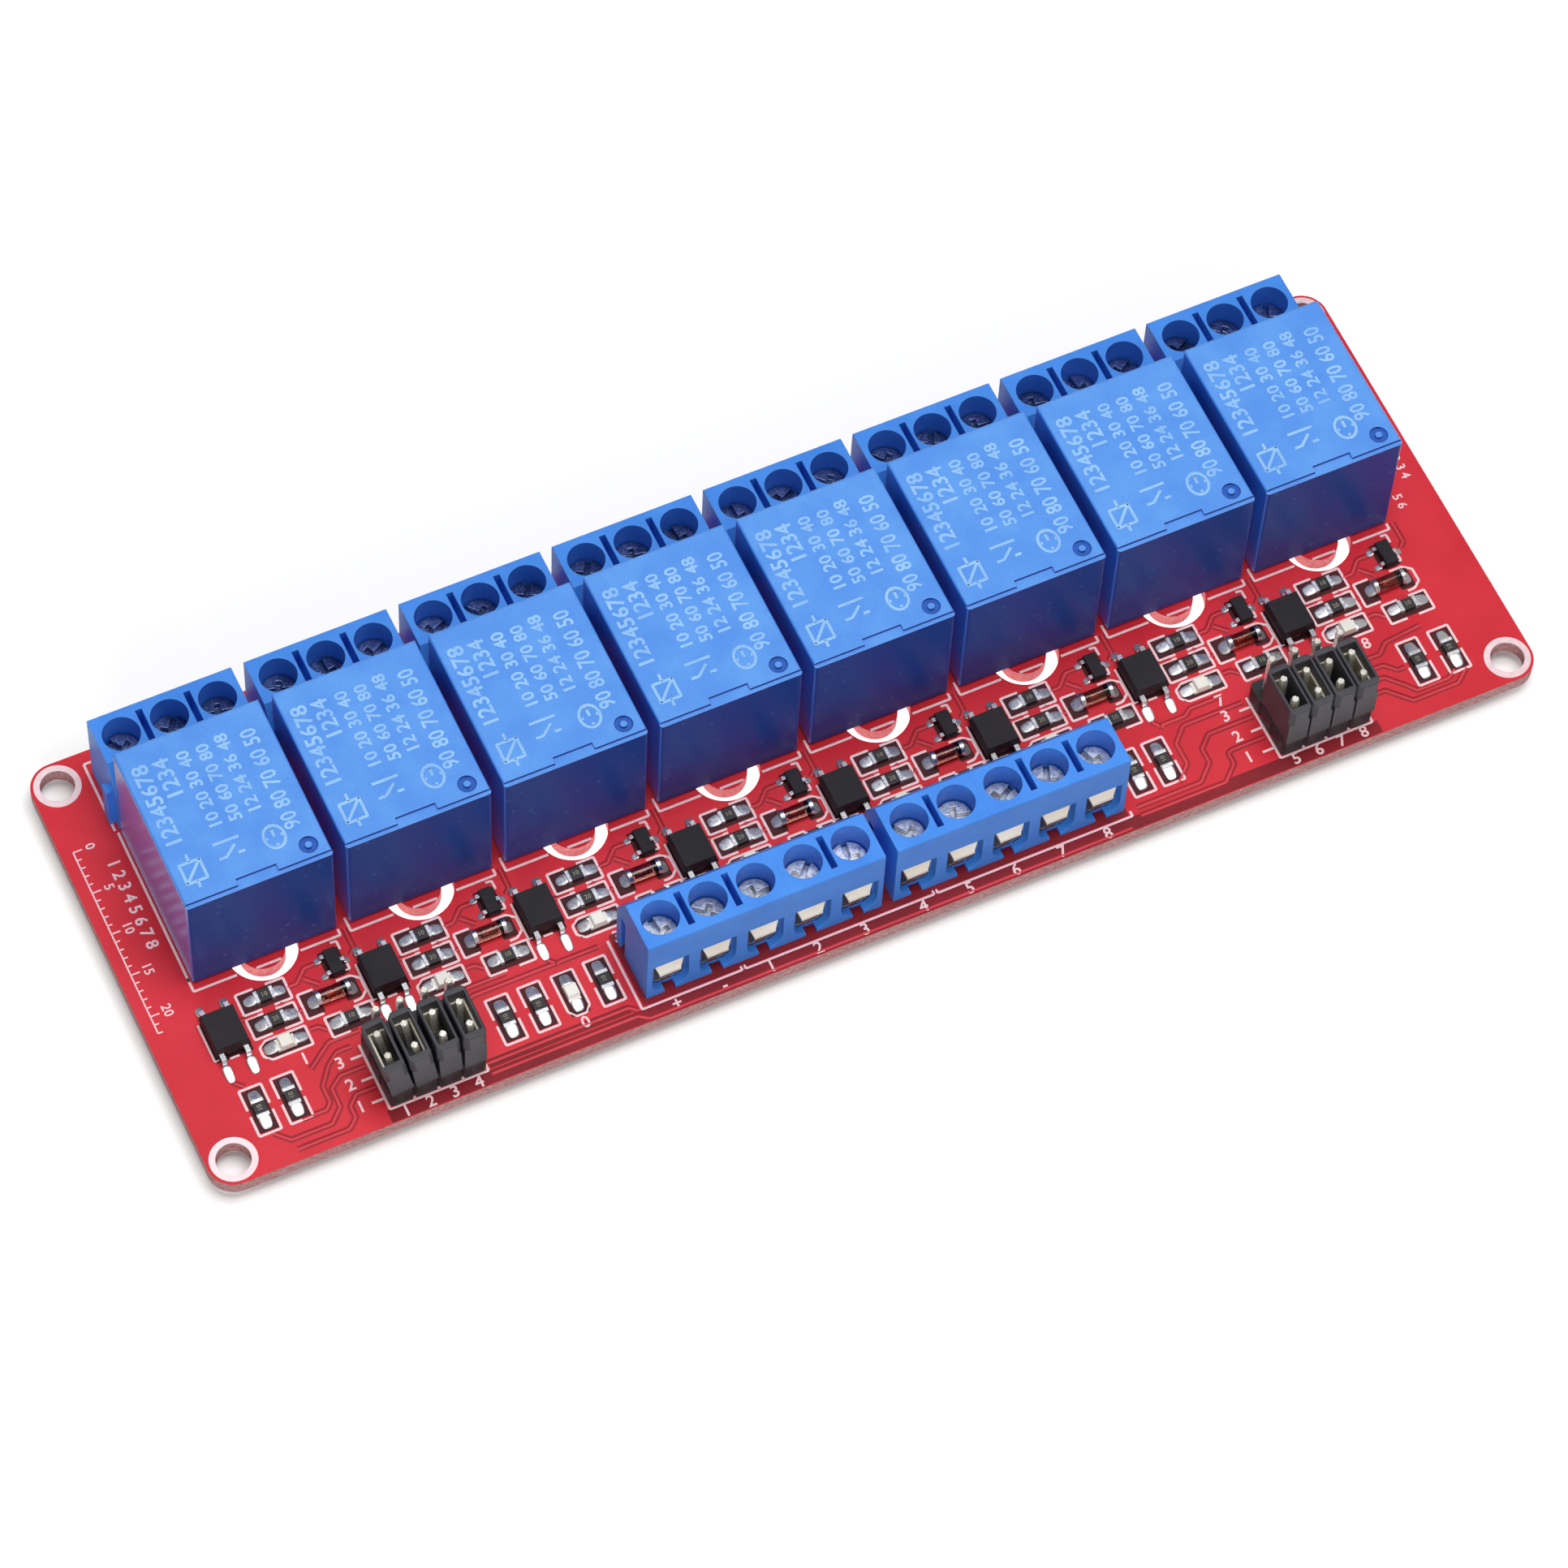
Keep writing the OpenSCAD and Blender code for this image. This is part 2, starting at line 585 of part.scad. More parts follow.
// An open-topped shunt: a plain body under a wider head, with a pit for the contact
module jumper_cap(k) color([0.22, 0.22, 0.25]) {
    lift = cap_w / 2 * sin(lean[k - 1]) + cap_clear;
    h = pin_h - lift;
    body_h = h - cap_head_h;
    on_header(k) translate([0, 0, lift]) difference() {
        union() {
            box_at(0, 0, 0, [cap_w - cap_step, cap_l - 3 * cap_step, body_h + eps]);
            translate([0, 0, body_h]) intersection() {
                soft_block(cap_w, cap_l, cap_head_h, 1.5 * cap_step);
                rotate([0, 0, 45]) box_at(0, 0, 0, [cap_across, cap_across, cap_head_h]);
            }
        }
        box_at(0, 0, cap_floor, [pit_w, cap_l - 2 * cap_end, h]);
        for (s = [-1, 1])
            box_at(0, s * pin_pitch / 2, -eps, [pin_w + 2 * cap_clear, pin_w + 2 * cap_clear, 2 * cap_floor]);
    }
}

// A bent strip in the pit of each cap, open on one side, around both pins
module jumper_contacts() color([0.85, 0.85, 0.82]) {
    w = pit_w - 2 * cap_clear;
    l = cap_l - 2 * (cap_end + cap_clear);
    for (k = CHANNEL) on_header(k) {
        lift = cap_w / 2 * sin(lean[k - 1]) + cap_clear;
        side = k % 2 == 1 ? -1 : 1;
        translate([0, 0, lift + cap_floor]) difference() {
            box_at(0, 0, 0, [w, l, contact_h]);
            box_at(-side * contact_t, 0, -eps, [w, l - 2 * contact_t, contact_h + 2 * eps]);
        }
    }
}

// ---- chip parts ----

// Puts its children at a spot of every channel, on the board
module each_channel(spot) {
    for (k = CHANNEL) translate([channel_x(k) + spot[0], relay_front_y + spot[1], board_t]) children();
}

module each_resistor() {
    for (spot = resistor_spots) each_channel(spot) children();
    for (spot = edge_resistor_spots) translate([spot[0], spot[1], board_t]) rotate([0, 0, 90]) children();
}

module resistor_bodies() color([0.16, 0.16, 0.17]) {
    each_resistor() box_at(0, 0, 0, [chip_l - 2 * terminal_l, chip_w, chip_h]);
}

module resistor_terminals() color([0.85, 0.85, 0.86]) {
    each_resistor() for (s = [-1, 1])
        box_at(s * (chip_l - terminal_l) / 2, 0, 0, [terminal_l, chip_w + 0.04, chip_h + 0.03]);
}

// A lamp chip: flat base with a lens block on it
module lamp_chip() {
    base_h = 0.4 * lamp_h;
    lens_l = chip_l - 2 * lamp_side;
    box_at(0, 0, 0, [chip_l, chip_w, base_h]);
    translate([0, chip_w / 2, 0]) rotate([90, 0, 0]) linear_extrude(chip_w) polygon([
        [-lens_l / 2, base_h - eps], [lens_l / 2, base_h - eps],
        [lens_l / 2 - lamp_slope, lamp_h], [lamp_slope - lens_l / 2, lamp_h]]);
}

module lamp_chips() color([0.95, 0.94, 0.9]) {
    each_channel(lamp_spot) lamp_chip();
    translate([power_lamp_x, edge_row_y, board_t]) rotate([0, 0, 90]) lamp_chip();
}

// A moulded body that is widest at mid height and drafted above and below
module drafted_body(l, w, h, draft) {
    intersection() {
        rotate([90, 0, 0]) translate([0, 0, -w]) linear_extrude(2 * w) polygon([
            [-l / 2 + draft, 0], [l / 2 - draft, 0], [l / 2, h / 2],
            [l / 2 - draft, h], [-l / 2 + draft, h], [-l / 2, h / 2]]);
        rotate([90, 0, 90]) translate([0, 0, -l]) linear_extrude(2 * l) polygon([
            [-w / 2 + draft, 0], [w / 2 - draft, 0], [w / 2, h / 2],
            [w / 2 - draft, h], [-w / 2 + draft, h], [-w / 2, h / 2]]);
    }
}

// A gull-wing lead that leaves the body at X = 0, height z, and ends in a foot on the board
module gull_lead(z, reach, w) {
    knee = reach / 2;
    translate([0, w / 2, 0]) rotate([90, 0, 0]) linear_extrude(w) polygon([
        [0, z - lead_t / 2], [knee - lead_t / 2, z - lead_t / 2], [knee, 0], [reach, 0],
        [reach, lead_t], [knee + lead_t, lead_t], [knee + lead_t / 2, z + lead_t / 2], [0, z + lead_t / 2]]);
}

module each_opto() {
    for (k = CHANNEL) translate([channel_x(k) + opto_x, opto_y, board_t]) children();
}

module optocoupler_bodies() color([0.13, 0.15, 0.15]) {
    each_opto() translate([0, 0, opto_lift]) drafted_body(opto_w, opto_l, opto_h, opto_draft);
}

module optocoupler_leads() color([0.82, 0.83, 0.84]) {
    each_opto() for (s = [-1, 1], t = [-1, 1])
        translate([s * opto_lead_x, t * opto_l / 2, 0]) rotate([0, 0, t * 90])
            gull_lead(opto_lift + opto_h / 2, opto_reach, opto_lead_w);
}

module transistor_bodies() color([0.1, 0.1, 0.11]) {
    each_channel(transistor_spot) translate([0, 0, transistor_lift])
        drafted_body(transistor_w, transistor_l, transistor_h, transistor_draft);
}

module transistor_leads() color([0.82, 0.83, 0.84]) {
    z = transistor_lift + transistor_h / 2;
    each_channel(transistor_spot) {
        for (t = [-1, 1]) translate([-transistor_w / 2, t * transistor_lead_y, 0]) rotate([0, 0, 180])
            gull_lead(z, transistor_reach, transistor_lead_w);
        translate([transistor_w / 2, 0, 0]) gull_lead(z, transistor_reach, transistor_lead_w);
    }
}

module diode_glass() color([0.75, 0.35, 0.25]) {
    each_channel(diode_spot) translate([-diode_l / 2 + diode_cap_l, 0, diode_d / 2 + diode_lift])
        rotate([0, 90, 0]) cylinder(h = diode_l - 2 * diode_cap_l, d = diode_d);
}

module diode_caps() color([0.82, 0.82, 0.84]) {
    each_channel(diode_spot) for (s = [0, 1])
        translate([-diode_l / 2 + s * (diode_l - diode_cap_l), 0, diode_d / 2 + diode_lift])
            rotate([0, 90, 0]) cylinder(h = diode_cap_l, d = diode_d + 2 * diode_lift);
}

// ---- the object ----

circuit_board();
mounting_hole_rings();
solder_joints();
relay_pins();
for (k = CHANNEL) {
    relay_cover(k);
    relay_base(k);
    output_terminal(k);
    jumper_cap(k);
}
for (m = [1 : len(input_ways)])
    input_terminal(m);
output_terminal_screws();
output_wire_clamps();
output_terminal_frames();
input_terminal_screws();
input_wire_clamps();
input_terminal_frames();
jumper_contacts();
header_strip(-1);  // header_strip_left
header_strip(1);  // header_strip_right
header_pins();
optocoupler_bodies();
optocoupler_leads();
transistor_bodies();
transistor_leads();
diode_glass();
diode_caps();
resistor_bodies();
resistor_terminals();
lamp_chips();
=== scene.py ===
import json
import math
import random

import bpy
from mathutils import Matrix, Vector

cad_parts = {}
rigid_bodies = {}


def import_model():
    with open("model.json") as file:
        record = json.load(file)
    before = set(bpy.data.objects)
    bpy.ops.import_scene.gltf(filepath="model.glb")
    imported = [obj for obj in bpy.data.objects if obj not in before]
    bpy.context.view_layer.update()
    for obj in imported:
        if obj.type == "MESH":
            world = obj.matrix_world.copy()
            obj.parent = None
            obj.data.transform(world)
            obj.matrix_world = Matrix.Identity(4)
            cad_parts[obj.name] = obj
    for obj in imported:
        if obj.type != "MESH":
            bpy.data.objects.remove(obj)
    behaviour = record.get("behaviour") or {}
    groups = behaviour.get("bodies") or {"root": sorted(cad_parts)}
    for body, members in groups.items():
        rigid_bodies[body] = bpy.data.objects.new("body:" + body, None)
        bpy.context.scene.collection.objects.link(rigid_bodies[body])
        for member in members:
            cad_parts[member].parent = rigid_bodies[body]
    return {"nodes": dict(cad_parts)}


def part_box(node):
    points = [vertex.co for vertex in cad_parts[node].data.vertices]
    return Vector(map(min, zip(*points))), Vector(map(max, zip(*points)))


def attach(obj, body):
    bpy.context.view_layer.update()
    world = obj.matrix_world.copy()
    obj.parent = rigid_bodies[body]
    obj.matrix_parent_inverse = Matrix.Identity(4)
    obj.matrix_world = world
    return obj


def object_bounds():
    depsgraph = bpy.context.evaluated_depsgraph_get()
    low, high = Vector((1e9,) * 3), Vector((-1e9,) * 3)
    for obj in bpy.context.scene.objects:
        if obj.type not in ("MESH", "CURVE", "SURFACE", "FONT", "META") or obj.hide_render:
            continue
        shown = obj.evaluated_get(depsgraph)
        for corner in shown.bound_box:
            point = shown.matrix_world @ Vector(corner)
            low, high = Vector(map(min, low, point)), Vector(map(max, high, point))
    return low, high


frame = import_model()
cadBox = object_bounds()
nodes = frame["nodes"]
mm = 0.001
scene = bpy.context.scene

# where things are, all in millimetres
boardTop = (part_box("circuit_board")[1] / mm).z
floorLevel = cadBox[0][2]
channels = 8


def nodeBox(name):
    low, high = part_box(name)
    return low / mm, high / mm


relayBox = [nodeBox(f"relay_cover_{k}") for k in range(1, channels + 1)]
relayMid = [(low.x + high.x) / 2 for low, high in relayBox]
relayFront = relayBox[0][0].y
relayNub = 0.05     # how far the vent's nub stands above the relay's top
relayTop = relayBox[0][1].z - relayNub
pinPitch = 2.54
wayPitch = 5.08
headerRows = (-17.2, -19.8, -22.4)

# small parts: from the middle of a channel and from the relay's front
chipSpots = [(-1.85, -4.05), (-1.85, -6.95), (5.0, -9.65)]
lampSpot = (-1.95, -9.65)
transistorSpot = (5.7, -3.55)
diodeSpot = (4.25, -6.7)
optoX = -7.0
optoLow, optoHigh = nodeBox("optocoupler_bodies")
optoMid = (optoLow.y + optoHigh.y) / 2
edgeChips = [(-65.1, -18.7), (-61.8, -18.7), (-39.44, -19.3), (-35.99, -19.3), (-28.99, -19.3),
             (28.99, -19.3), (32.19, -19.3), (61.0, -19.3), (64.6, -19.3)]
powerLamp = (-32.49, -19.3)
footOut = 0.85      # from the middle of a chip to its end's solder


camera = {
    "azimuth": 28.302,
    "elevation": 60.0,
    "roll": 3.807,
    "target": (-4.48, -8.04, 5.0),
    "distance": 652.48,
    "lens": 151.5,
    "film": 36,
    "clip": (0.01, 20),
}


def placeCamera(c):
    az, el, roll = (math.radians(c[key]) for key in ("azimuth", "elevation", "roll"))
    ahead = Vector((math.sin(az) * math.cos(el), math.cos(az) * math.cos(el), -math.sin(el)))
    right = ahead.cross(Vector((0, 0, 1))).normalized()
    up = right.cross(ahead)
    tiltedRight = math.cos(roll) * right + math.sin(roll) * up
    tiltedUp = math.cos(roll) * up - math.sin(roll) * right
    turn = Matrix((tiltedRight, tiltedUp, -ahead)).transposed().to_4x4()
    place = (Vector(c["target"]) - ahead * c["distance"]) * mm
    bpy.ops.object.camera_add()
    view = bpy.context.object
    view.name = "studioCamera"
    view.matrix_world = Matrix.Translation(place) @ turn
    view.data.lens = c["lens"]
    view.data.sensor_width = c["film"]
    view.data.clip_start, view.data.clip_end = c["clip"]
    scene.camera = view


placeCamera(camera)
print("camera placed")


def paint(red, green, blue):
    # screen values 0 to 255 to the linear colour that a shader takes
    out = []
    for value in (red, green, blue):
        v = value / 255
        out.append(v / 12.92 if v <= 0.04045 else ((v + 0.055) / 1.055) ** 2.4)
    return (*out, 1.0)


def addNode(tree, kind, inputs=None, **settings):
    node = tree.nodes.new(kind)
    for key, value in settings.items():
        setattr(node, key, value)
    for key, value in (inputs or {}).items():
        if isinstance(value, bpy.types.NodeSocket):
            tree.links.new(value, node.inputs[key])
        else:
            node.inputs[key].default_value = value
    return node


def objectPlace(tree):
    return addNode(tree, "ShaderNodeTexCoord").outputs["Object"]


def mixColour(tree, factor, a, b):
    return addNode(tree, "ShaderNodeMix", {0: factor, 6: a, 7: b}, data_type="RGBA").outputs[2]


def mixValue(tree, factor, a, b):
    return addNode(tree, "ShaderNodeMix", {0: factor, 2: a, 3: b}, data_type="FLOAT").outputs[0]


def axes(tree, vector):
    return addNode(tree, "ShaderNodeSeparateXYZ", {0: vector}).outputs


def faceDirection(tree):
    return axes(tree, addNode(tree, "ShaderNodeNewGeometry").outputs["Normal"])


def calc(tree, operation, a, b=0.0, clamp=False):
    return addNode(tree, "ShaderNodeMath", {0: a, 1: b}, operation=operation, use_clamp=clamp).outputs[0]


def times(tree, a, b):
    return calc(tree, "MULTIPLY", a, b)


def blended(tree, a, b, share):
    # a and b added, with the share going to a and the rest to b
    return calc(tree, "ADD", times(tree, a, share), times(tree, b, 1 - share))


def offAxis(tree, value, middle=0.0):
    # how far a place is from the middle, on either side; the middle is in millimetres
    return calc(tree, "ABSOLUTE", calc(tree, "ADD", value, -middle * mm))


def spread(tree, value, low, high, toLow=0.0, toHigh=1.0):
    keys = {"Value": value, "From Min": low, "From Max": high, "To Min": toLow, "To Max": toHigh}
    return addNode(tree, "ShaderNodeMapRange", keys).outputs[0]


def newGroup(name, inputs, outputs):
    group = bpy.data.node_groups.new(name, "ShaderNodeTree")
    for label, kind, value in inputs:
        group.interface.new_socket(label, in_out="INPUT", socket_type=kind).default_value = value
    for label, kind in outputs:
        group.interface.new_socket(label, in_out="OUTPUT", socket_type=kind)
    start = group.nodes.new("NodeGroupInput")
    end = group.nodes.new("NodeGroupOutput")
    return group, start.outputs, end.inputs


def makeGrain():
    # moulded or brushed grain: Size is the length of a grain in millimetres
    look = {"fineDetail": 3.0, "blotchDetail": 2.0, "blotchScale": 0.04}
    group, take, put = newGroup(
        "surfaceGrain",
        [("Size", "NodeSocketFloat", 0.1), ("Stretch", "NodeSocketVector", (1, 1, 1))],
        [("Fine", "NodeSocketFloat"), ("Blotch", "NodeSocketFloat")],
    )
    inputs = {0: objectPlace(group), 1: take["Stretch"]}
    place = addNode(group, "ShaderNodeVectorMath", inputs, operation="MULTIPLY").outputs[0]
    scale = calc(group, "DIVIDE", 1 / mm, take["Size"])
    wideScale = times(group, scale, look["blotchScale"])
    fine = {"Vector": place, "Scale": scale, "Detail": look["fineDetail"]}
    blotch = {"Vector": place, "Scale": wideScale, "Detail": look["blotchDetail"]}
    group.links.new(addNode(group, "ShaderNodeTexNoise", fine).outputs["Fac"], put["Fine"])
    group.links.new(addNode(group, "ShaderNodeTexNoise", blotch).outputs["Fac"], put["Blotch"])
    return group


def makeSoftEdge():
    # rounds the look of sharp edges and gives a mask along them
    look = {"samples": 4, "flat": 0.995, "turned": 0.8}
    group, take, put = newGroup(
        "softEdge",
        [("Radius", "NodeSocketFloat", 0.1)],
        [("Normal", "NodeSocketVector"), ("Mask", "NodeSocketFloat")],
    )
    radius = times(group, take["Radius"], mm)
    rounded = addNode(group, "ShaderNodeBevel", {"Radius": radius}, samples=look["samples"]).outputs[0]
    flat = addNode(group, "ShaderNodeNewGeometry").outputs["Normal"]
    same = addNode(group, "ShaderNodeVectorMath", {0: rounded, 1: flat}, operation="DOT_PRODUCT")
    mask = spread(group, same.outputs["Value"], look["flat"], look["turned"])
    group.links.new(rounded, put["Normal"])
    group.links.new(mask, put["Mask"])
    return group


def makeSpecks():
    # scattered pale specks, as dust and handling leave on a smooth face
    look = {"patchScale": 0.3, "softness": 0.4}
    group, take, put = newGroup(
        "dustSpecks",
        [("Size", "NodeSocketFloat", 0.6), ("Amount", "NodeSocketFloat", 0.3)],
        [("Mask", "NodeSocketFloat")],
    )
    scale = calc(group, "DIVIDE", 1 / mm, take["Size"])
    cells = addNode(group, "ShaderNodeTexVoronoi", {"Vector": objectPlace(group), "Scale": scale})
    wide = {"Vector": objectPlace(group), "Scale": times(group, scale, look["patchScale"])}
    patches = addNode(group, "ShaderNodeTexNoise", wide)
    limit = times(group, take["Amount"], patches.outputs["Fac"])
    mask = spread(group, cells.outputs["Distance"], limit, times(group, limit, look["softness"]))
    group.links.new(mask, put["Mask"])
    return group


grainGroup = makeGrain()
edgeGroup = makeSoftEdge()
specksGroup = makeSpecks()


def useGroup(tree, group, **inputs):
    node = tree.nodes.new("ShaderNodeGroup")
    node.node_tree = group
    for key, value in inputs.items():
        if isinstance(value, bpy.types.NodeSocket):
            tree.links.new(value, node.inputs[key])
        else:
            node.inputs[key].default_value = value
    return node.outputs


def newFinish(name):
    material = bpy.data.materials.new(name)
    material.use_nodes = True
    tree = material.node_tree
    shader = next(n for n in tree.nodes if n.type == "BSDF_PRINCIPLED")
    return material, tree, shader


def give(tree, shader, **values):
    names = {"colour": "Base Color", "rough": "Roughness", "metal": "Metallic", "normal": "Normal",
             "coat": "Coat Weight", "coatRough": "Coat Roughness", "ior": "IOR",
             "specular": "Specular IOR Level", "through": "Transmission Weight",
             "glow": "Emission Color", "glowBy": "Emission Strength"}
    for key, value in values.items():
        socket = shader.inputs[names[key]]
        if isinstance(value, bpy.types.NodeSocket):
            tree.links.new(value, socket)
        else:
            socket.default_value = value


def bumped(tree, height, depth, normal=None):
    keys = {"Height": height, "Strength": 1.0, "Distance": depth * mm}
    if normal is not None:
        keys["Normal"] = normal
    return addNode(tree, "ShaderNodeBump", keys).outputs[0]


def plasticFinish(name, look):
    # moulded plastic: faint patches of tone, a painted highlight along the edges and a fine grain
    material, tree, shader = newFinish(name)
    grain = useGroup(tree, grainGroup, Size=look["grain"])
    edge = useGroup(tree, edgeGroup, Radius=look["edgeRound"])
    patches = spread(tree, grain["Blotch"], 0.3, 0.7)
    tint = mixColour(tree, patches, paint(*look["colour"]), paint(*look["shade"]))
    inkWearAndEdgeHighlight = mixColour(tree, times(tree, edge["Mask"], look["edgeLight"]), tint, paint(*look["edge"]))
    rough = spread(tree, grain["Fine"], 0.25, 0.75, look["rough"] - 0.06, look["rough"] + 0.06)
    give(tree, shader, colour=inkWearAndEdgeHighlight, rough=rough, specular=look.get("specular", 0.5),
         normal=bumped(tree, grain["Fine"], look["depth"], edge["Normal"]))
    return material


def metalFinish(name, look):
    # plated or tinned metal: stained in patches, with a painted highlight along its edges
    material, tree, shader = newFinish(name)
    grain = useGroup(tree, grainGroup, Size=look["grain"])
    edge = useGroup(tree, edgeGroup, Radius=look["edgeRound"])
    patches = spread(tree, grain["Blotch"], 0.35, 0.7)
    tint = mixColour(tree, patches, paint(*look["colour"]), paint(*look["stain"]))
    withEdgeHighlight = mixColour(tree, times(tree, edge["Mask"], 0.6), tint, paint(250, 250, 250))
    rough = spread(tree, grain["Fine"], 0.3, 0.7, look["rough"] * 0.7, look["rough"] * 1.3)
    give(tree, shader, colour=withEdgeHighlight, rough=rough, metal=look.get("metal", 1.0),
         normal=bumped(tree, grain["Fine"], look["depth"], edge["Normal"]))
    return material


def boardFinish():
    # solder mask above and below, rough fibre at the edges and in the holes
    look = {"mask": (221, 46, 60), "maskDeep": (206, 33, 48), "maskRough": 0.42, "depth": 0.012,
            "fibre": (236, 186, 184), "fibreDark": (186, 130, 128), "fibreRough": 0.85, "fibreRise": 6.0,
            "grain": 0.35, "patches": 0.9, "layers": 0.45, "layerStretch": (1, 1, 3), "specular": 0.3,
            "glow": (150, 70, 74), "glowRow": -4.6, "glowHalf": 3.4, "glowLength": 66, "glowFade": (0.2, 2)}
    material, tree, shader = newFinish("solderMask")
    grain = useGroup(tree, grainGroup, Size=look["grain"])
    wide = useGroup(tree, grainGroup, Size=look["patches"])
    layers = useGroup(tree, grainGroup, Size=look["layers"], Stretch=look["layerStretch"])
    side = spread(tree, calc(tree, "ABSOLUTE", faceDirection(tree)["Z"]), 0.7, 0.5)
    uneven = spread(tree, blended(tree, grain["Blotch"], wide["Blotch"], 0.5), 0.4, 0.62)
    mask = mixColour(tree, uneven, paint(*look["mask"]), paint(*look["maskDeep"]))
    fibreMix = spread(tree, layers["Fine"], 0.35, 0.65)
    fibre = mixColour(tree, fibreMix, paint(*look["fibre"]), paint(*look["fibreDark"]))
    rise = times(tree, layers["Fine"], times(tree, side, look["fibreRise"]))
    height = calc(tree, "ADD", grain["Fine"], rise)
    # painted glow: the fibre walls of the slots in front of the relays give out a faint pink light,
    # standing in for light through the thin laminate
    at = axes(tree, objectPlace(tree))
    half, length, (fadeY, fadeX) = look["glowHalf"], look["glowLength"], look["glowFade"]
    near = spread(tree, offAxis(tree, at["Y"], look["glowRow"]), (half + fadeY) * mm, half * mm)
    near = times(tree, near, spread(tree, offAxis(tree, at["X"]), (length + fadeX) * mm, length * mm))
    glow = mixColour(tree, times(tree, side, near), (0, 0, 0, 1), paint(*look["glow"]))
    give(tree, shader, colour=mixColour(tree, side, mask, fibre), specular=look["specular"],
         rough=mixValue(tree, side, look["maskRough"], look["fibreRough"]),
         normal=bumped(tree, height, look["depth"]), glow=glow, glowBy=1.0)
    return material


def relayFinish():
    # satin top with fine grain, glossy sides with soft specks, paler and glossier ends; the sides' darker
    # blue is painted shade and the ends' paler blue is painted light
    look = {"top": (86, 148, 234), "topPale": (98, 160, 240), "topRough": 0.45,
            "side": (20, 70, 150), "sideDark": (30, 62, 136), "sideRough": 0.32,
            "speck": (120, 150, 205), "edge": (160, 178, 238), "end": (60, 134, 244),
            "vent": (46, 98, 190), "ventDepth": 0.3, "coatRough": 0.2, "specular": 0.2, "depth": 0.014}
    material, tree, shader = newFinish("relayCover")
    grain = useGroup(tree, grainGroup, Size=0.14)
    cloud = useGroup(tree, grainGroup, Size=0.16)
    streak = useGroup(tree, grainGroup, Size=1.4, Stretch=(1, 1, 0.1))
    specks = useGroup(tree, specksGroup, Size=1.6, Amount=0.3)
    edge = useGroup(tree, edgeGroup, Radius=0.12)
    facing = faceDirection(tree)
    height = axes(tree, objectPlace(tree))["Z"]
    up = spread(tree, facing["Z"], 0.4, 0.8)
    # painted shade and reflection: the sides turn darker and redder towards the bottom, standing in for
    # shade near the board and the red board mirrored in them, mixed with streaky tone
    low = spread(tree, height, 12 * mm, 2 * mm)
    toned = spread(tree, blended(tree, low, streak["Fine"], 0.5), 0.2, 0.8)
    side = mixColour(tree, toned, paint(*look["side"]), paint(*look["sideDark"]))
    side = mixColour(tree, times(tree, specks["Mask"], 0.22), side, paint(*look["speck"]))
    mottle = spread(tree, blended(tree, cloud["Blotch"], grain["Fine"], 0.6), 0.42, 0.6)
    top = mixColour(tree, mottle, paint(*look["top"]), paint(*look["topPale"]))
    # the sides take a darker copy of the top's blue as painted shade
    colour = mixColour(tree, up, side, top)
    # painted highlight along the cover's edges
    colour = mixColour(tree, times(tree, edge["Mask"], 0.45), colour, paint(*look["edge"]))
    # painted light: the end faces are painted a paler blue than the front and back; they also get a clear
    # coat
    ends = spread(tree, calc(tree, "ABSOLUTE", facing["X"]), 0.5, 0.8, 0.0, 0.9)
    colour = mixColour(tree, times(tree, ends, 0.75), colour, paint(*look["end"]))
    # the floor of the round vent recess lies in shade
    floor = relayTop - look["ventDepth"]
    sunk = times(tree, spread(tree, height, (floor - 0.03) * mm, (floor - 0.015) * mm),
                 spread(tree, height, (floor + 0.1) * mm, (floor + 0.05) * mm))
    sunk = times(tree, sunk, spread(tree, facing["Z"], 0.95, 0.98))
    colour = mixColour(tree, sunk, colour, paint(*look["vent"]))
    bumps = times(tree, grain["Fine"], calc(tree, "ADD", times(tree, up, 0.9), 0.1))
    give(tree, shader, colour=colour, rough=mixValue(tree, up, look["sideRough"], look["topRough"]),
         normal=bumped(tree, bumps, look["depth"], edge["Normal"]), specular=look["specular"],
         coat=ends, coatRough=look["coatRough"])
    return material


def glassFinish():
    look = {"colour": (226, 170, 150), "deep": (206, 140, 118), "grain": 0.5, "rough": 0.03, "ior": 1.5,
            "depth": 0.004}
    material, tree, shader = newFinish("diodeGlass")
    grain = useGroup(tree, grainGroup, Size=look["grain"])
    patches = spread(tree, grain["Blotch"], 0.3, 0.7)
    tint = mixColour(tree, patches, paint(*look["colour"]), paint(*look["deep"]))
    give(tree, shader, colour=tint, rough=look["rough"], through=1.0, ior=look["ior"],
         normal=bumped(tree, grain["Fine"], look["depth"]))
    return material


finishes = {"solderMask": boardFinish(), "relayCover": relayFinish(), "diodeGlass": glassFinish()}

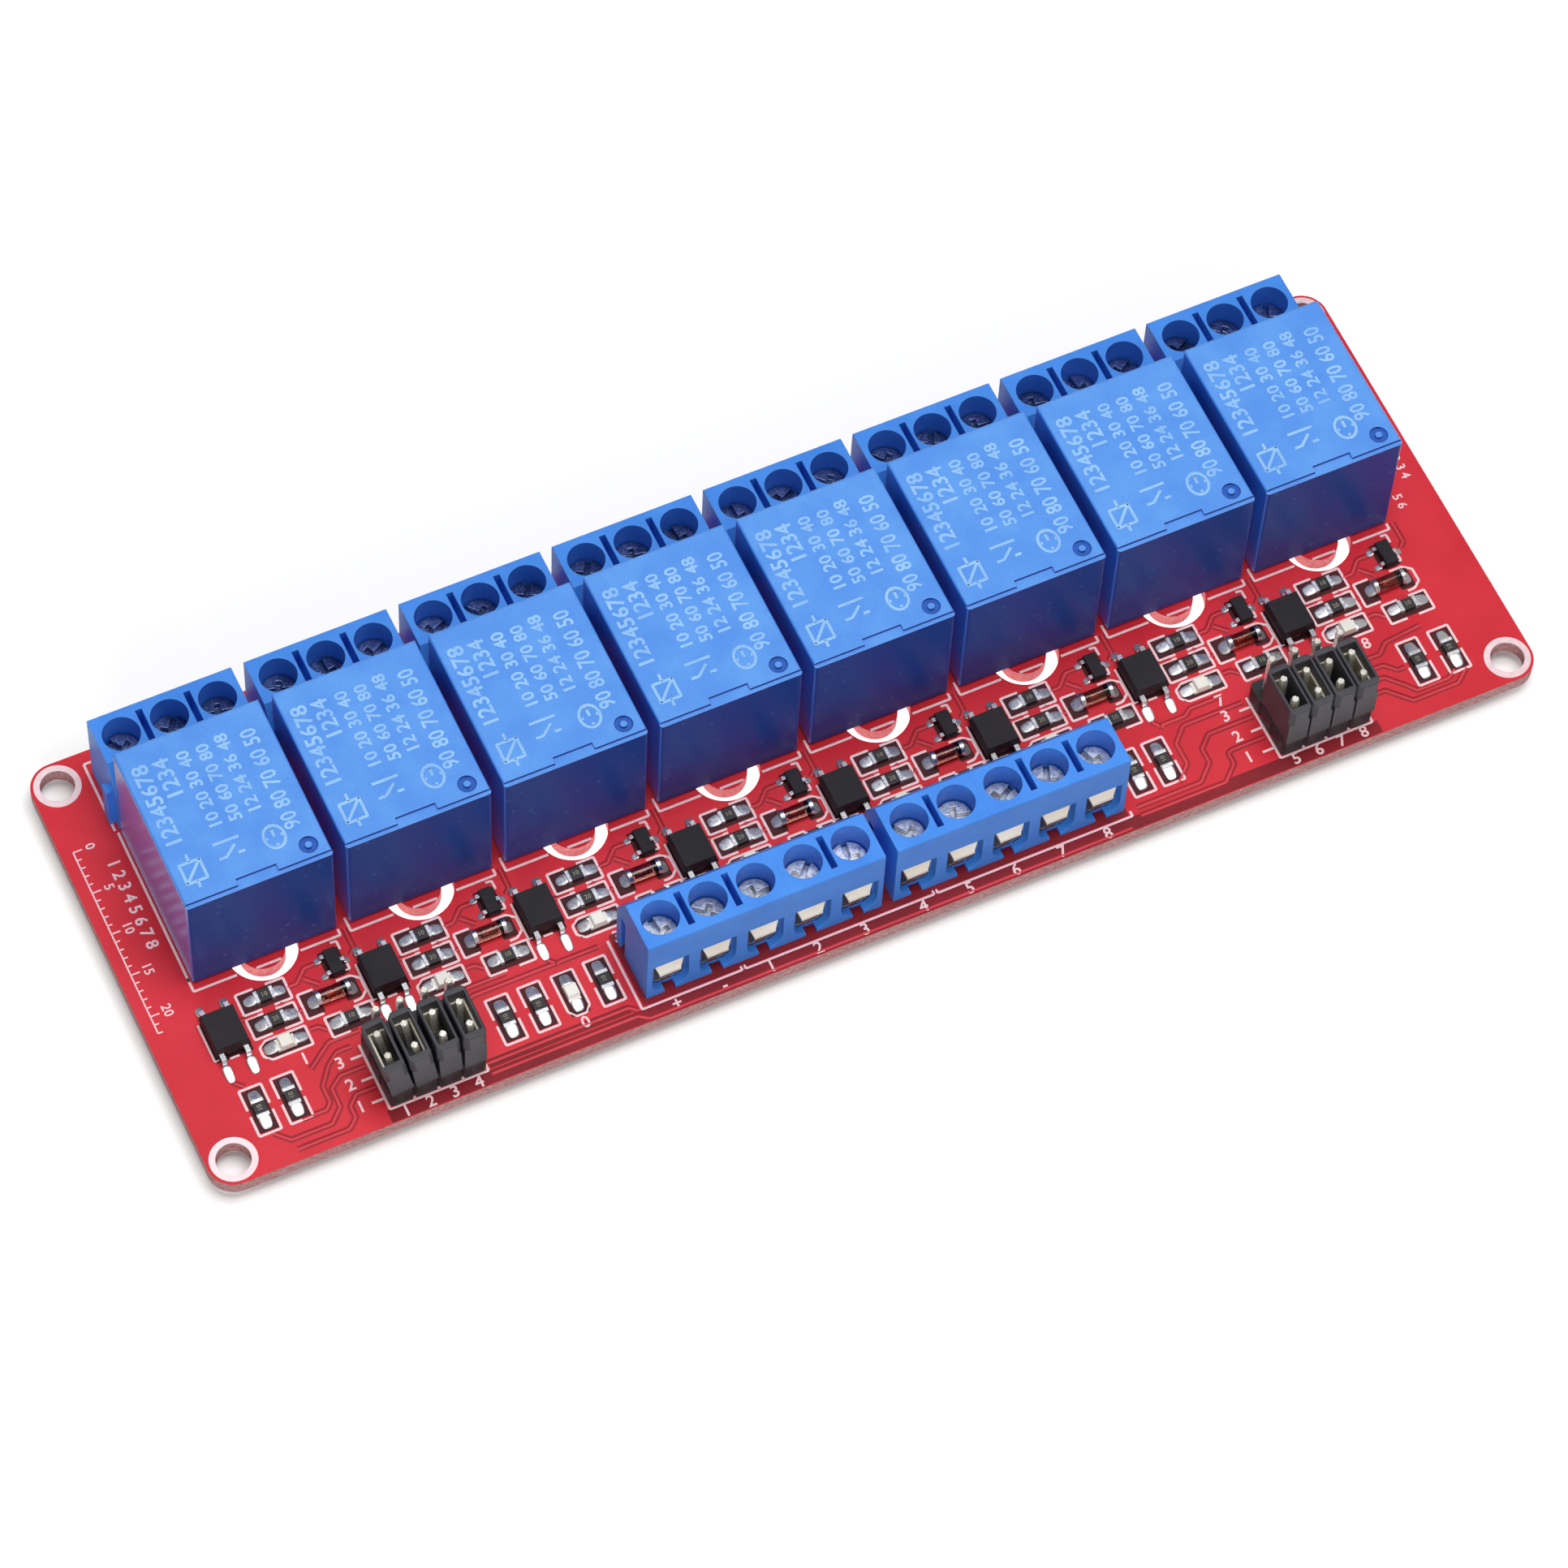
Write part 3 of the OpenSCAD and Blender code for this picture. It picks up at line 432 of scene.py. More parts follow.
looks = {
    "tinnedRing": {"colour": (250, 226, 230), "stain": (240, 206, 212), "grain": 0.5, "edgeRound": 0.05,
                   "rough": 0.42, "depth": 0.012, "metal": 0.35},
    "solder": {"colour": (238, 238, 240), "stain": (206, 206, 210), "grain": 0.3, "edgeRound": 0.1,
               "rough": 0.36, "depth": 0.012, "metal": 0.85},
    "relayMechanism": {"colour": (36, 38, 52), "shade": (26, 28, 40), "edge": (70, 72, 90), "grain": 0.2,
                       "edgeRound": 0.1, "edgeLight": 0.3, "rough": 0.5, "depth": 0.01},
    "terminalPlastic": {"colour": (72, 147, 243), "shade": (62, 137, 235), "edge": (136, 188, 250),
                        "grain": 0.14, "edgeRound": 0.12, "edgeLight": 0.4, "rough": 0.42, "depth": 0.014,
                        "specular": 0.3},
    "jumperPlastic": {"colour": (66, 65, 71), "shade": (54, 53, 60), "edge": (122, 120, 128), "grain": 0.12,
                      "edgeRound": 0.14, "edgeLight": 0.4, "rough": 0.5, "depth": 0.02},
    "stripPlastic": {"colour": (30, 30, 34), "shade": (22, 22, 26), "edge": (84, 84, 90), "grain": 0.1,
                     "edgeRound": 0.08, "edgeLight": 0.3, "rough": 0.5, "depth": 0.012},
    "screwPlate": {"colour": (240, 241, 243), "stain": (176, 180, 188), "grain": 0.5, "edgeRound": 0.12,
                   "rough": 0.3, "depth": 0.004},
    # painted reflection: the clamps are painted cream-white with little metal, standing in for the white
    # surroundings mirrored in the plated steel
    "clampPlate": {"colour": (255, 250, 240), "stain": (244, 234, 218), "grain": 0.3, "edgeRound": 0.06,
                   "rough": 0.42, "depth": 0.008, "metal": 0.3},
    # painted shade: the screws down in the output terminals' wells are a dark navy copy of the bright input
    # screws
    "shadedWellScrew": {"colour": (118, 138, 186), "stain": (56, 78, 128), "grain": 0.3, "edgeRound": 0.12,
                  "rough": 0.26, "depth": 0.006},
    "framePlate": {"colour": (206, 208, 212), "stain": (176, 180, 186), "grain": 0.25, "edgeRound": 0.08,
                   "rough": 0.32, "depth": 0.01},
    "contactStrip": {"colour": (246, 240, 224), "stain": (220, 210, 188), "grain": 0.2, "edgeRound": 0.04,
                     "rough": 0.35, "depth": 0.006, "metal": 0.5},
    "pinPlate": {"colour": (252, 250, 242), "stain": (236, 230, 214), "grain": 0.2, "edgeRound": 0.05,
                 "rough": 0.3, "depth": 0.006, "metal": 0.6},
    "epoxyBlack": {"colour": (36, 32, 38), "shade": (27, 24, 29), "edge": (92, 88, 96), "grain": 0.12,
                   "edgeRound": 0.1, "edgeLight": 0.4, "rough": 0.58, "depth": 0.025, "specular": 0.3},
    "leadTin": {"colour": (232, 233, 236), "stain": (204, 206, 210), "grain": 0.12, "edgeRound": 0.05,
                "rough": 0.3, "depth": 0.008},
    "chipFilm": {"colour": (42, 38, 42), "shade": (30, 27, 31), "edge": (120, 112, 112), "grain": 0.06,
                 "edgeRound": 0.05, "edgeLight": 0.4, "rough": 0.45, "depth": 0.006},
    "lampResin": {"colour": (250, 248, 240), "shade": (240, 236, 222), "edge": (255, 255, 250),
                  "grain": 0.2, "edgeRound": 0.08, "edgeLight": 0.4, "rough": 0.3, "depth": 0.006},
}


def addFinish(name, look):
    # a metal's look has a stain, a plastic's has a shade
    finishes[name] = (metalFinish if "stain" in look else plasticFinish)(name, look)


for name, look in looks.items():
    addFinish(name, look)

nodeFinish = {
    "circuit_board": "solderMask", "mounting_hole_rings": "tinnedRing", "solder_joints": "solder",
    "relay_pins": "leadTin", "relay_cover_": "relayCover", "relay_base_": "relayMechanism",
    "output_terminal_screws": "shadedWellScrew", "input_terminal_screws": "screwPlate",
    "output_wire_clamps": "clampPlate", "input_wire_clamps": "clampPlate",
    "output_terminal_frames": "framePlate", "input_terminal_frames": "framePlate",
    "output_terminal_": "terminalPlastic", "input_terminal_": "terminalPlastic",
    "jumper_cap_": "jumperPlastic", "jumper_contacts": "contactStrip",
    "header_strip_": "stripPlastic", "header_pins": "pinPlate",
    "optocoupler_bodies": "epoxyBlack", "optocoupler_leads": "leadTin",
    "transistor_bodies": "epoxyBlack", "transistor_leads": "leadTin",
    "diode_glass": "diodeGlass", "diode_caps": "leadTin",
    "resistor_bodies": "chipFilm", "resistor_terminals": "solder", "lamp_chips": "lampResin",
}


def dressNodes():
    # the longest key that begins a node's name says its finish
    for name, node in nodes.items():
        longest = max((key for key in nodeFinish if name.startswith(key)), key=len)
        node.data.materials.clear()
        node.data.materials.append(finishes[nodeFinish[longest]])


dressNodes()
print("CAD nodes dressed")


def startClean():
    if bpy.context.object and bpy.context.object.mode != "OBJECT":
        bpy.ops.object.mode_set(mode="OBJECT")
    bpy.ops.object.select_all(action="DESELECT")


def nameIt(piece, name):
    piece.name = name
    piece.data.name = name
    return piece


def onlyPick(piece):
    startClean()
    piece.select_set(True)
    bpy.context.view_layer.objects.active = piece


def settle(piece):
    onlyPick(piece)
    bpy.ops.object.transform_apply(location=True, rotation=True, scale=True)
    return piece


def twinOf(piece):
    # a copy with its own mesh
    onlyPick(piece)
    bpy.ops.object.duplicate(linked=False)
    return bpy.context.object


def remove(piece):
    onlyPick(piece)
    bpy.ops.object.delete()


def joinPieces(pieces, name):
    startClean()
    for piece in pieces:
        piece.select_set(True)
    bpy.context.view_layer.objects.active = pieces[0]
    if len(pieces) > 1:
        bpy.ops.object.join()
    return nameIt(bpy.context.object, name)


def copyAt(piece, places):
    # a copy at each place; the piece itself goes
    out = []
    for x, y in places:
        twin = twinOf(piece)
        twin.location = (x * mm, y * mm, 0)
        out.append(settle(twin))
    remove(piece)
    return out


def emptyPiece():
    # a mesh without points, left in edit mode
    startClean()
    bpy.ops.mesh.primitive_plane_add(size=mm, location=(0, 0, 0))
    piece = bpy.context.object
    bpy.ops.object.mode_set(mode="EDIT")
    bpy.ops.mesh.select_all(action="SELECT")
    bpy.ops.mesh.delete(type="VERT")
    return piece


def pick(piece, test):
    # in edit mode, selects the points that the test is true for
    bpy.ops.mesh.select_all(action="DESELECT")
    bpy.ops.object.mode_set(mode="OBJECT")
    for vertex in piece.data.vertices:
        vertex.select = test(vertex.co)
    bpy.ops.object.mode_set(mode="EDIT")
    bpy.ops.mesh.select_mode(type="VERT")


def finishPiece(piece, finish):
    piece.data.materials.clear()
    piece.data.materials.append(finishes[finish])
    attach(piece, "root")
    return piece


# how lines are drawn: steps round a corner, the part of a side that a corner may take, the first point's
# size, and the distance at which a closed line's ends meet
stroke = {"cornerSteps": (0, 0.25, 0.5, 0.75, 1), "cornerPart": 2.2, "seed": 0.01, "weld": 0.002}


def eased(points, radius, closed=False):
    # rounds each corner of a chain of points by a short curve
    out = []
    count = len(points)
    for i, point in enumerate(points):
        if not closed and i in (0, count - 1):
            out.append(point)
            continue
        here = Vector(point)
        before = Vector(points[i - 1]) - here
        after = Vector(points[(i + 1) % count]) - here
        r = min(radius, before.length / stroke["cornerPart"], after.length / stroke["cornerPart"])
        start, end = here + before.normalized() * r, here + after.normalized() * r
        for t in stroke["cornerSteps"]:
            q = (1 - t) ** 2 * start + 2 * t * (1 - t) * here + t ** 2 * end
            out.append((q.x, q.y))
    return out


def drawLines(chains, width, height, level, name, ease=0.15):
    # chains: lists of (x, y); the first point repeated at the end closes a chain
    piece = emptyPiece()
    for chain in chains:
        closed = len(chain) > 3 and (Vector(chain[0]) - Vector(chain[-1])).length < 1e-6
        points = eased(chain[:-1] if closed else chain, ease, closed)
        if closed:
            points.append(points[0])
        start = (points[0][0] * mm, points[0][1] * mm, 0)
        bpy.ops.mesh.primitive_plane_add(size=stroke["seed"] * mm, location=start)
        bpy.ops.mesh.merge(type="CENTER")
        for a, b in zip(points, points[1:]):
            step = ((b[0] - a[0]) * mm, (b[1] - a[1]) * mm, 0)
            bpy.ops.mesh.extrude_region_move(TRANSFORM_OT_translate={"value": step})
        if closed:
            bpy.ops.mesh.select_linked()
            bpy.ops.mesh.remove_doubles(threshold=stroke["weld"] * mm)
        bpy.ops.mesh.select_all(action="DESELECT")
    bpy.ops.object.mode_set(mode="OBJECT")
    bpy.ops.object.convert(target="CURVE")
    line = bpy.context.object
    line.data.bevel_depth = width / 2 * mm
    line.data.bevel_resolution = 1
    line.data.use_fill_caps = True
    bpy.ops.object.convert(target="MESH")
    piece = bpy.context.object
    piece.scale.z = 2 * height / width
    piece.location.z = level * mm
    return nameIt(settle(piece), name)


sizeByDigit = 1.4     # font size that makes a figure one unit high


def writeMarks(marks, size, height, level, name, bold=0.0):
    # marks: (text, x, y, turn in degrees, and a length to fit if any), middle on the place
    out = []
    for text, x, y, turn, *fit in marks:
        startClean()
        bpy.ops.object.text_add()
        piece = bpy.context.object
        piece.data.body = text
        piece.data.align_x = "CENTER"
        piece.data.align_y = "CENTER"
        piece.data.size = size * sizeByDigit * mm
        piece.data.extrude = height / 2 * mm
        piece.data.offset = bold * mm
        piece.data.resolution_u = 2
        bpy.ops.object.convert(target="MESH")
        piece = bpy.context.object
        if fit:
            piece.scale.x = fit[0] * mm / piece.dimensions.x
        piece.rotation_euler.z = math.radians(turn)
        piece.location = (x * mm, y * mm, (level + height / 2) * mm)
        out.append(settle(piece))
    return joinPieces(out, name)


def printFinish():
    # pale print that the mask shows through in places
    look = {"ink": (250, 216, 220), "thin": (240, 168, 176), "grain": 0.12, "rough": 0.6, "depth": 0.004}
    material, tree, shader = newFinish("boardPrint")
    grain = useGroup(tree, grainGroup, Size=look["grain"])
    inkWearAndEdgeHighlight = spread(tree, grain["Fine"], 0.5, 0.8)
    give(tree, shader, colour=mixColour(tree, inkWearAndEdgeHighlight, paint(*look["ink"]), paint(*look["thin"])),
         rough=look["rough"], normal=bumped(tree, grain["Fine"], look["depth"]))
    return material


finishes["boardPrint"] = printFinish()

# white lines and figures on the board
ink = {"width": 0.27, "height": 0.02, "digit": 1.3, "bold": 0.03, "smallDigit": 1.0, "smallBold": 0.02,
       "ruler": 0.16, "rulerEase": 0.05, "code": 0.5, "codeHeight": 0.01}


def splitBox(left, right, back, front, gap=1.3):
    # a box drawn as two brackets, open in the middle of its long sides
    mid = (left + right) / 2
    return [
        [(mid - gap / 2, back), (left, back), (left, front), (mid - gap / 2, front)],
        [(mid + gap / 2, back), (right, back), (right, front), (mid + gap / 2, front)],
    ]


def turnedBox(x, y, wide=2.3, long=5.3, gap=0.7):
    # the same for a part that stands across the board's length
    l, r, b, f = x - wide / 2, x + wide / 2, y + long / 2, y - long / 2
    return [
        [(l, y + gap / 2), (l, b), (r, b), (r, y + gap / 2)],
        [(l, y - gap / 2), (l, f), (r, f), (r, y - gap / 2)],
    ]


def channelPrint():
    front = relayFront - 0.75
    lines = [
        [(-7.9, front + 1.6), (-7.9, front), (-3.35, front)],             # relay, the slot left out
        [(-1.3, front - 0.05), (1.3, front - 0.05)],
        [(3.35, front), (7.6, front), (7.6, front + 0.7)],
        [(-8.95, -7.75), (-8.95, -12.1), (-8.5, -12.1)],                  # optocoupler
        [(-7.5, -12.35), (-6.5, -12.35)],
        [(6.3, -4.55), (6.95, -4.6), (6.95, -5.6)],                       # transistor
        [(6.95, -7.1), (6.95, -7.95), (5.6, -7.95)],
        [(2.75, -8.6), (1.1, -8.6), (1.1, -11.5), (2.75, -11.5)],         # glass diode
        [(5.2, -8.65), (6.6, -8.65), (7.5, -9.3), (7.5, -10.8), (6.7, -11.45), (5.9, -11.5)],
        [(0.5, -11.95), (-3.6, -11.95), (-4.45, -12.5), (-4.45, -13.5), (-3.7, -14.15), (0.5, -14.15),
         (0.5, -11.95)],                                                  # lamp
    ]
    lines += splitBox(-4.45, 0.6, -6.2, -8.65)
    lines += splitBox(-4.5, 0.5, -9.1, -11.5)
    lines += splitBox(2.55, 7.45, -12.0, -14.35)
    one = drawLines(lines, ink["width"], ink["height"], boardTop, "channel_print")
    return copyAt(one, [(x, 0) for x in relayMid])


def headerPrint(side):
    # an outline with ticks between the columns, and a dash for each row
    margin, tick, dash = 0.15, 0.45, 1.2
    low, high = nodeBox("header_strip_left" if side < 0 else "header_strip_right")
    left, right, front = low.x - margin, high.x + 0.05, low.y - margin
    lines = [[(left, high.y - 0.1), (left, front), (right, front), (right, front + 0.8)]]
    for i in range(1, 4):
        x = low.x + pinPitch * i
        lines.append([(x, front), (x, front + tick)])
    for y in headerRows:
        lines.append([(left - margin - dash, y), (left - margin, y)])
        if side > 0:
            lines.append([(left, y), (left + dash / 2, y)])
    return lines


def edgePrint():
    front, tick = -23.7, -23.25
    lines = []
    for x, y in edgeChips:
        lines += turnedBox(x, y)
    x, y = powerLamp
    lines += [[(x - 1.15, y + 2.5), (x - 1.15, y - 1.7), (x - 0.55, y - 2.45), (x + 0.55, y - 2.45),
               (x + 1.15, y - 1.7), (x + 1.15, y + 2.5), (x - 1.15, y + 2.5)]]
    lines += headerPrint(-1) + headerPrint(1)
    lines += [
        [(-26.9, -15.4), (-26.9, front), (-16.15, front), (-16.15, tick)],
        [(-15.75, tick), (-15.75, front), (4.7, front), (4.7, tick)],
        [(5.1, tick), (5.1, front), (26.6, front), (26.6, front + 0.6)],
        [(-66.0, -3.0), (-66.0, 15.3)],
        [(-66.2, 15.6), (-66.2, 23.9)],
        [(66.0, -2.6), (66.0, 15.3)],
        [(66.2, 15.6), (66.2, 23.9)],
        [(-66.2, 23.9), (66.2, 23.9)],
    ]
    return [drawLines(lines, ink["width"], ink["height"], boardTop, "edge_print")]


ruler = {"x": -70.9, "low": -7.0, "high": 15.0, "every": 5, "long": 0.95, "short": 0.5}


def rulerPrint():
    # a plain length scale along the free end of the board
    low, high, x = ruler["low"], ruler["high"], ruler["x"]
    lines = [[(x, low), (x, high)]]
    for i in range(int(high - low) + 1):
        long = ruler["short"] if i % ruler["every"] else ruler["long"]
        lines.append([(x, high - i), (x + long, high - i)])
    return [drawLines(lines, ink["ruler"], ink["height"], boardTop, "ruler_print", ease=ink["rulerEase"])]


def numberPrint():
    words = []
    for i, x in enumerate(relayMid):
        words.append((str(i + 1), x - 0.9, -15.35, 0))
    for i in range(4):
        words.append((str(i + 1), -52.21 + pinPitch * i, -24.55, 0))
        words.append((str(i + 5), 44.59 + pinPitch * i, -24.45, 0))
    for left in (-56.1, 40.3):
        for i, y in enumerate(headerRows):
            words.append((str(3 - i), left, y, 0))
    for i, x in enumerate((-13.34, -8.26, -3.18, 3.18, 8.26, 13.34, 18.42, 23.5)):
        words.append((str(i + 1), x, -24.5, 0))
    words += [("+", -23.5, -24.5, 0), ("-", -18.42, -24.5, 0), ("0", powerLamp[0], -22.75, 0)]
    words += [("1 2 3 4 5 6 7 8", -67.75, 7.3, -90)]
    board = writeMarks(words, ink["digit"], ink["height"], boardTop, "number_print", bold=ink["bold"])
    every = ruler["every"]
    scale = [(str(every * i), -69.15, ruler["high"] - every * i, -90) for i in range(5)]
    scale += [("1 2 3 4", 70.2, 2.6, -90), ("5 6", 68.2, -1.6, -90)]
    return [board, writeMarks(scale, ink["smallDigit"], ink["height"], boardTop, "scale_print",
                              bold=ink["smallBold"])]


def boardPrint():
    pieces = channelPrint() + edgePrint() + rulerPrint() + numberPrint()
    return joinPieces(pieces, "board_print")


def chipCodes():
    # a plain value on each resistor
    words = []
    for x in relayMid:
        for code, (dx, dy) in zip(("10", "20", "10"), chipSpots):
            words.append((code, x + dx, relayFront + dy, 0))
    words += [("10", x, y, 90) for x, y in edgeChips]
    top = nodeBox("resistor_bodies")[1].z
    return writeMarks(words, ink["code"], ink["codeHeight"], top, "chip_codes")


addFinish("chipCode", {"colour": (176, 168, 140), "shade": (140, 132, 108), "edge": (190, 184, 160),
                       "grain": 0.08, "edgeRound": 0.01, "edgeLight": 0.2, "rough": 0.5, "depth": 0.002})
finishPiece(boardPrint(), "boardPrint")
finishPiece(chipCodes(), "chipCode")
print("board print drawn")


def copperFinish(name, look):
    # copper as it looks through the mask, and flat dark patches of painted shade on the mask
    material, tree, shader = newFinish(name)
    grain = useGroup(tree, grainGroup, Size=0.3)
    patches = spread(tree, grain["Blotch"], 0.35, 0.65)
    tint = mixColour(tree, patches, paint(*look["colour"]), paint(*look["shade"]))
    give(tree, shader, colour=tint, rough=look["rough"], specular=0.35,
         normal=bumped(tree, grain["Fine"], 0.01))
    return material


# in the order in which boardCopper gives its pieces
copperLooks = {
    "trackOver": {"colour": (226, 66, 78), "shade": (214, 50, 62), "rough": 0.4},
    "trackGap": {"colour": (166, 22, 38), "shade": (148, 16, 32), "rough": 0.5},
    "shadeUnderParts": {"colour": (74, 12, 20), "shade": (56, 8, 16), "rough": 0.6},
    "paintedShadeMask": {"colour": (142, 15, 31), "shade": (124, 10, 25), "rough": 0.55},
}
for name, look in copperLooks.items():
    finishes[name] = copperFinish(name, look)

tracks = {"width": 0.26, "height": 0.03, "gapWidth": 0.7, "gapHeight": 0.008, "ease": 0.2}
patch = {"corner": 0.12, "segments": 3, "partShadeHeight": 0.012, "terminalShadeHeight": 0.006}
# painted shade: dark patches within the outlines of the small parts, from the middle of a channel
partShadePlaces = [(-4.3, 0.45, -8.5, -6.35), (-4.35, 0.35, -11.35, -9.25), (2.7, 7.3, -14.2, -12.15),
              (-4.2, 0.35, -14.0, -12.1), (1.25, 3.0, -11.35, -8.75), (5.4, 7.0, -11.2, -8.85),
              (-8.85, -5.0, -12.4, -7.7), (4.6, 6.8, -8.3, -5.2)]
# half sizes of the painted shade patch at each chip near the board's front
chipShadeBox = (1.0, 2.45)
# painted shade: dark patches in front of the input terminals and headers and around the terminals
terminalShadePlaces = [(-54.0, 54.0, -25.2, -23.75), (-26.6, 26.3, -23.5, -14.9), (-43.0, -28.0, -23.6, -22.6)]


def layPatches(rects, height, level, name):
    # rects: (left, right, front, back); thin flat pads with softened corners
    piece = emptyPiece()
    for left, right, front, back in rects:
        middle = ((left + right) / 2 * mm, (front + back) / 2 * mm, 0)
        bpy.ops.mesh.primitive_plane_add(size=mm, location=middle)
        bpy.ops.transform.resize(value=(right - left, back - front, 1), center_override=middle)
        bpy.ops.mesh.select_all(action="DESELECT")
    bpy.ops.mesh.select_all(action="SELECT")
    bpy.ops.mesh.bevel(offset=patch["corner"] * mm, segments=patch["segments"], affect="VERTICES")
    bpy.ops.mesh.select_all(action="SELECT")
    bpy.ops.mesh.extrude_region_move(TRANSFORM_OT_translate={"value": (0, 0, height * mm)})
    bpy.ops.mesh.select_all(action="SELECT")
    bpy.ops.mesh.normals_make_consistent(inside=False)
    bpy.ops.object.mode_set(mode="OBJECT")
    piece.location.z = level * mm
    return nameIt(settle(piece), name)


def boxesUnderParts():
    rects = [(x + left, x + right, front, back)
             for x in relayMid for left, right, front, back in partShadePlaces]
    wide, long = chipShadeBox
    return rects + [(x - wide, x + wide, y - long, y + long) for x, y in edgeChips + [powerLamp]]


def channelTracks():
    return [
        [(-3.2, -9.0), (-4.9, -9.0)], [(-0.6, -8.65), (-0.6, -9.05)],
        [(0.6, -7.4), (1.6, -7.4), (2.9, -6.1), (4.4, -6.1)],
        [(0.5, -10.3), (1.0, -10.3)], [(2.4, -7.2), (3.6, -8.4)],
        [(7.6, -6.6), (8.2, -6.0), (8.2, -3.6)],
        [(0.8, -12.6), (1.6, -12.6), (2.4, -13.3)],
        [(-8.2, -13.9), (-8.2, -15.0), (-7.4, -15.8)],
    ]


def sideTracks():
    # the routes from the two headers and the terminals to the channels
    return [
        [(-64.9, -21.6), (-63.6, -22.9), (-59.3, -22.9), (-57.9, -21.5), (-57.9, -19.4), (-56.6, -18.4),
         (-54.0, -18.4)],
        [(-61.8, -21.3), (-59.2, -21.3), (-58.6, -20.6), (-58.6, -18.8), (-57.2, -16.9), (-55.9, -15.9),
         (-54.4, -15.9)],
        [(-53.9, -20.9), (-56.0, -20.9), (-57.0, -21.9), (-57.0, -23.2), (-58.0, -24.1), (-63.4, -24.1)],
        [(-58.9, -16.6), (-56.2, -14.6), (-53.0, -14.6)],
        [(-43.1, -23.0), (-28.0, -23.0), (-27.4, -23.6)],
        [(-43.1, -24.2), (-27.6, -24.2), (-26.6, -24.9), (26.0, -24.9)],
        [(-43.1, -15.6), (-41.5, -14.6), (-37.5, -14.6)],
        [(-43.1, -16.6), (-41.4, -15.6), (-28.0, -15.6)],
        [(27.4, -23.0), (34.6, -23.0), (36.4, -21.3), (36.4, -19.6), (37.8, -18.3), (42.8, -18.3)],
        [(27.4, -24.0), (36.9, -24.0), (38.6, -22.4), (38.6, -21.1), (39.1, -20.9), (42.8, -20.9)],
        [(32.5, -22.2), (34.3, -20.5), (34.3, -18.0), (35.9, -16.4), (42.6, -16.4)],
        [(33.5, -15.5), (36.6, -15.5), (37.4, -14.9), (41.0, -14.9)],
        [(53.9, -18.3), (57.6, -18.3), (58.7, -19.4), (59.5, -19.4)],
        [(53.9, -19.6), (57.0, -19.6), (58.6, -21.3), (59.4, -22.3), (63.0, -22.3), (64.0, -21.6)],
        [(53.9, -21.0), (56.4, -21.0), (58.5, -23.2), (63.6, -23.2), (65.2, -21.9)],
        [(53.9, -17.0), (57.9, -17.0), (59.0, -16.0), (63.2, -15.6)],
    ]


def boardCopper():
    runs = sideTracks()
    for x in relayMid:
        runs += [[(x + a, b) for a, b in run] for run in channelTracks()]
    ease = tracks["ease"]
    over = drawLines(runs, tracks["width"], tracks["height"], boardTop, "copper_tracks", ease=ease)
    gaps = drawLines(runs, tracks["gapWidth"], tracks["gapHeight"], boardTop, "track_gaps", ease=ease)
    partShade = layPatches(boxesUnderParts(), patch["partShadeHeight"], boardTop, "painted_shade_under_parts")
    return over, gaps, partShade, layPatches(terminalShadePlaces, patch["terminalShadeHeight"], boardTop, "painted_shade_patches")


for piece, finish in zip(boardCopper(), copperLooks):
    finishPiece(piece, finish)
print("tracks laid")


# copper under the board: where the load's pins stand, and its tracks
loadPins = {"common": -1.4, "side": (6.0, 12.8), "terminal": 18.5}
under = {"loadWidth": 2.2, "loadHeight": 0.04, "loadEase": 0.6, "width": 0.7, "height": 0.03, "ease": 0.4}


def undersideTracks():
    wide, thin = [], []
    for k, x in enumerate(relayMid, 1):
        low, high = nodeBox(f"output_terminal_{k}")
        mid, end = (low.x + high.x) / 2, loadPins["terminal"]
        for side in (-1, 1):
            pin = (x + side * loadPins["side"][0], loadPins["side"][1])
            leg = (mid + side * wayPitch, end)
            wide.append([pin, (leg[0], pin[1] + abs(pin[0] - leg[0]) + 0.6), leg])
        wide.append([(x, loadPins["common"]), (x, 8.0), (mid, 10.0), (mid, end)])
        thin.append([(x - 6.0, 0.6), (x - 6.0, -2.2), (x - 7.4, -3.6), (x - 7.4, -13.0)])
        thin.append([(x + 6.0, 0.6), (x + 6.0, -6.0), (x + 4.6, -7.4), (x + 4.6, -14.6)])
    thin.append([(-66.5, -15.0), (-41.5, -15.0), (-39.5, -13.6), (66.5, -13.6)])
    thin.append([(-66.5, -16.4), (-55.5, -16.4)])
    for i in range(4):
        for first in (-51.0, 45.8):
            thin.append([(first + pinPitch * i, -18.4), (first + pinPitch * i, -13.6)])
    return wide, thin


def undersideCopper():
    wide, thin = undersideTracks()
    loads = drawLines(wide, under["loadWidth"], under["loadHeight"], 0, "underside_load_tracks",
                      ease=under["loadEase"])
    lines = drawLines(thin, under["width"], under["height"], 0, "underside_tracks", ease=under["ease"])
    return joinPieces([loads, lines], "underside_copper")


finishPiece(undersideCopper(), "trackOver")
print("underside laid")


diodeCore = {"radius": 0.3, "long": 1.7, "sides": 16, "soften": 0.12, "segments": 2, "smooth": 40}


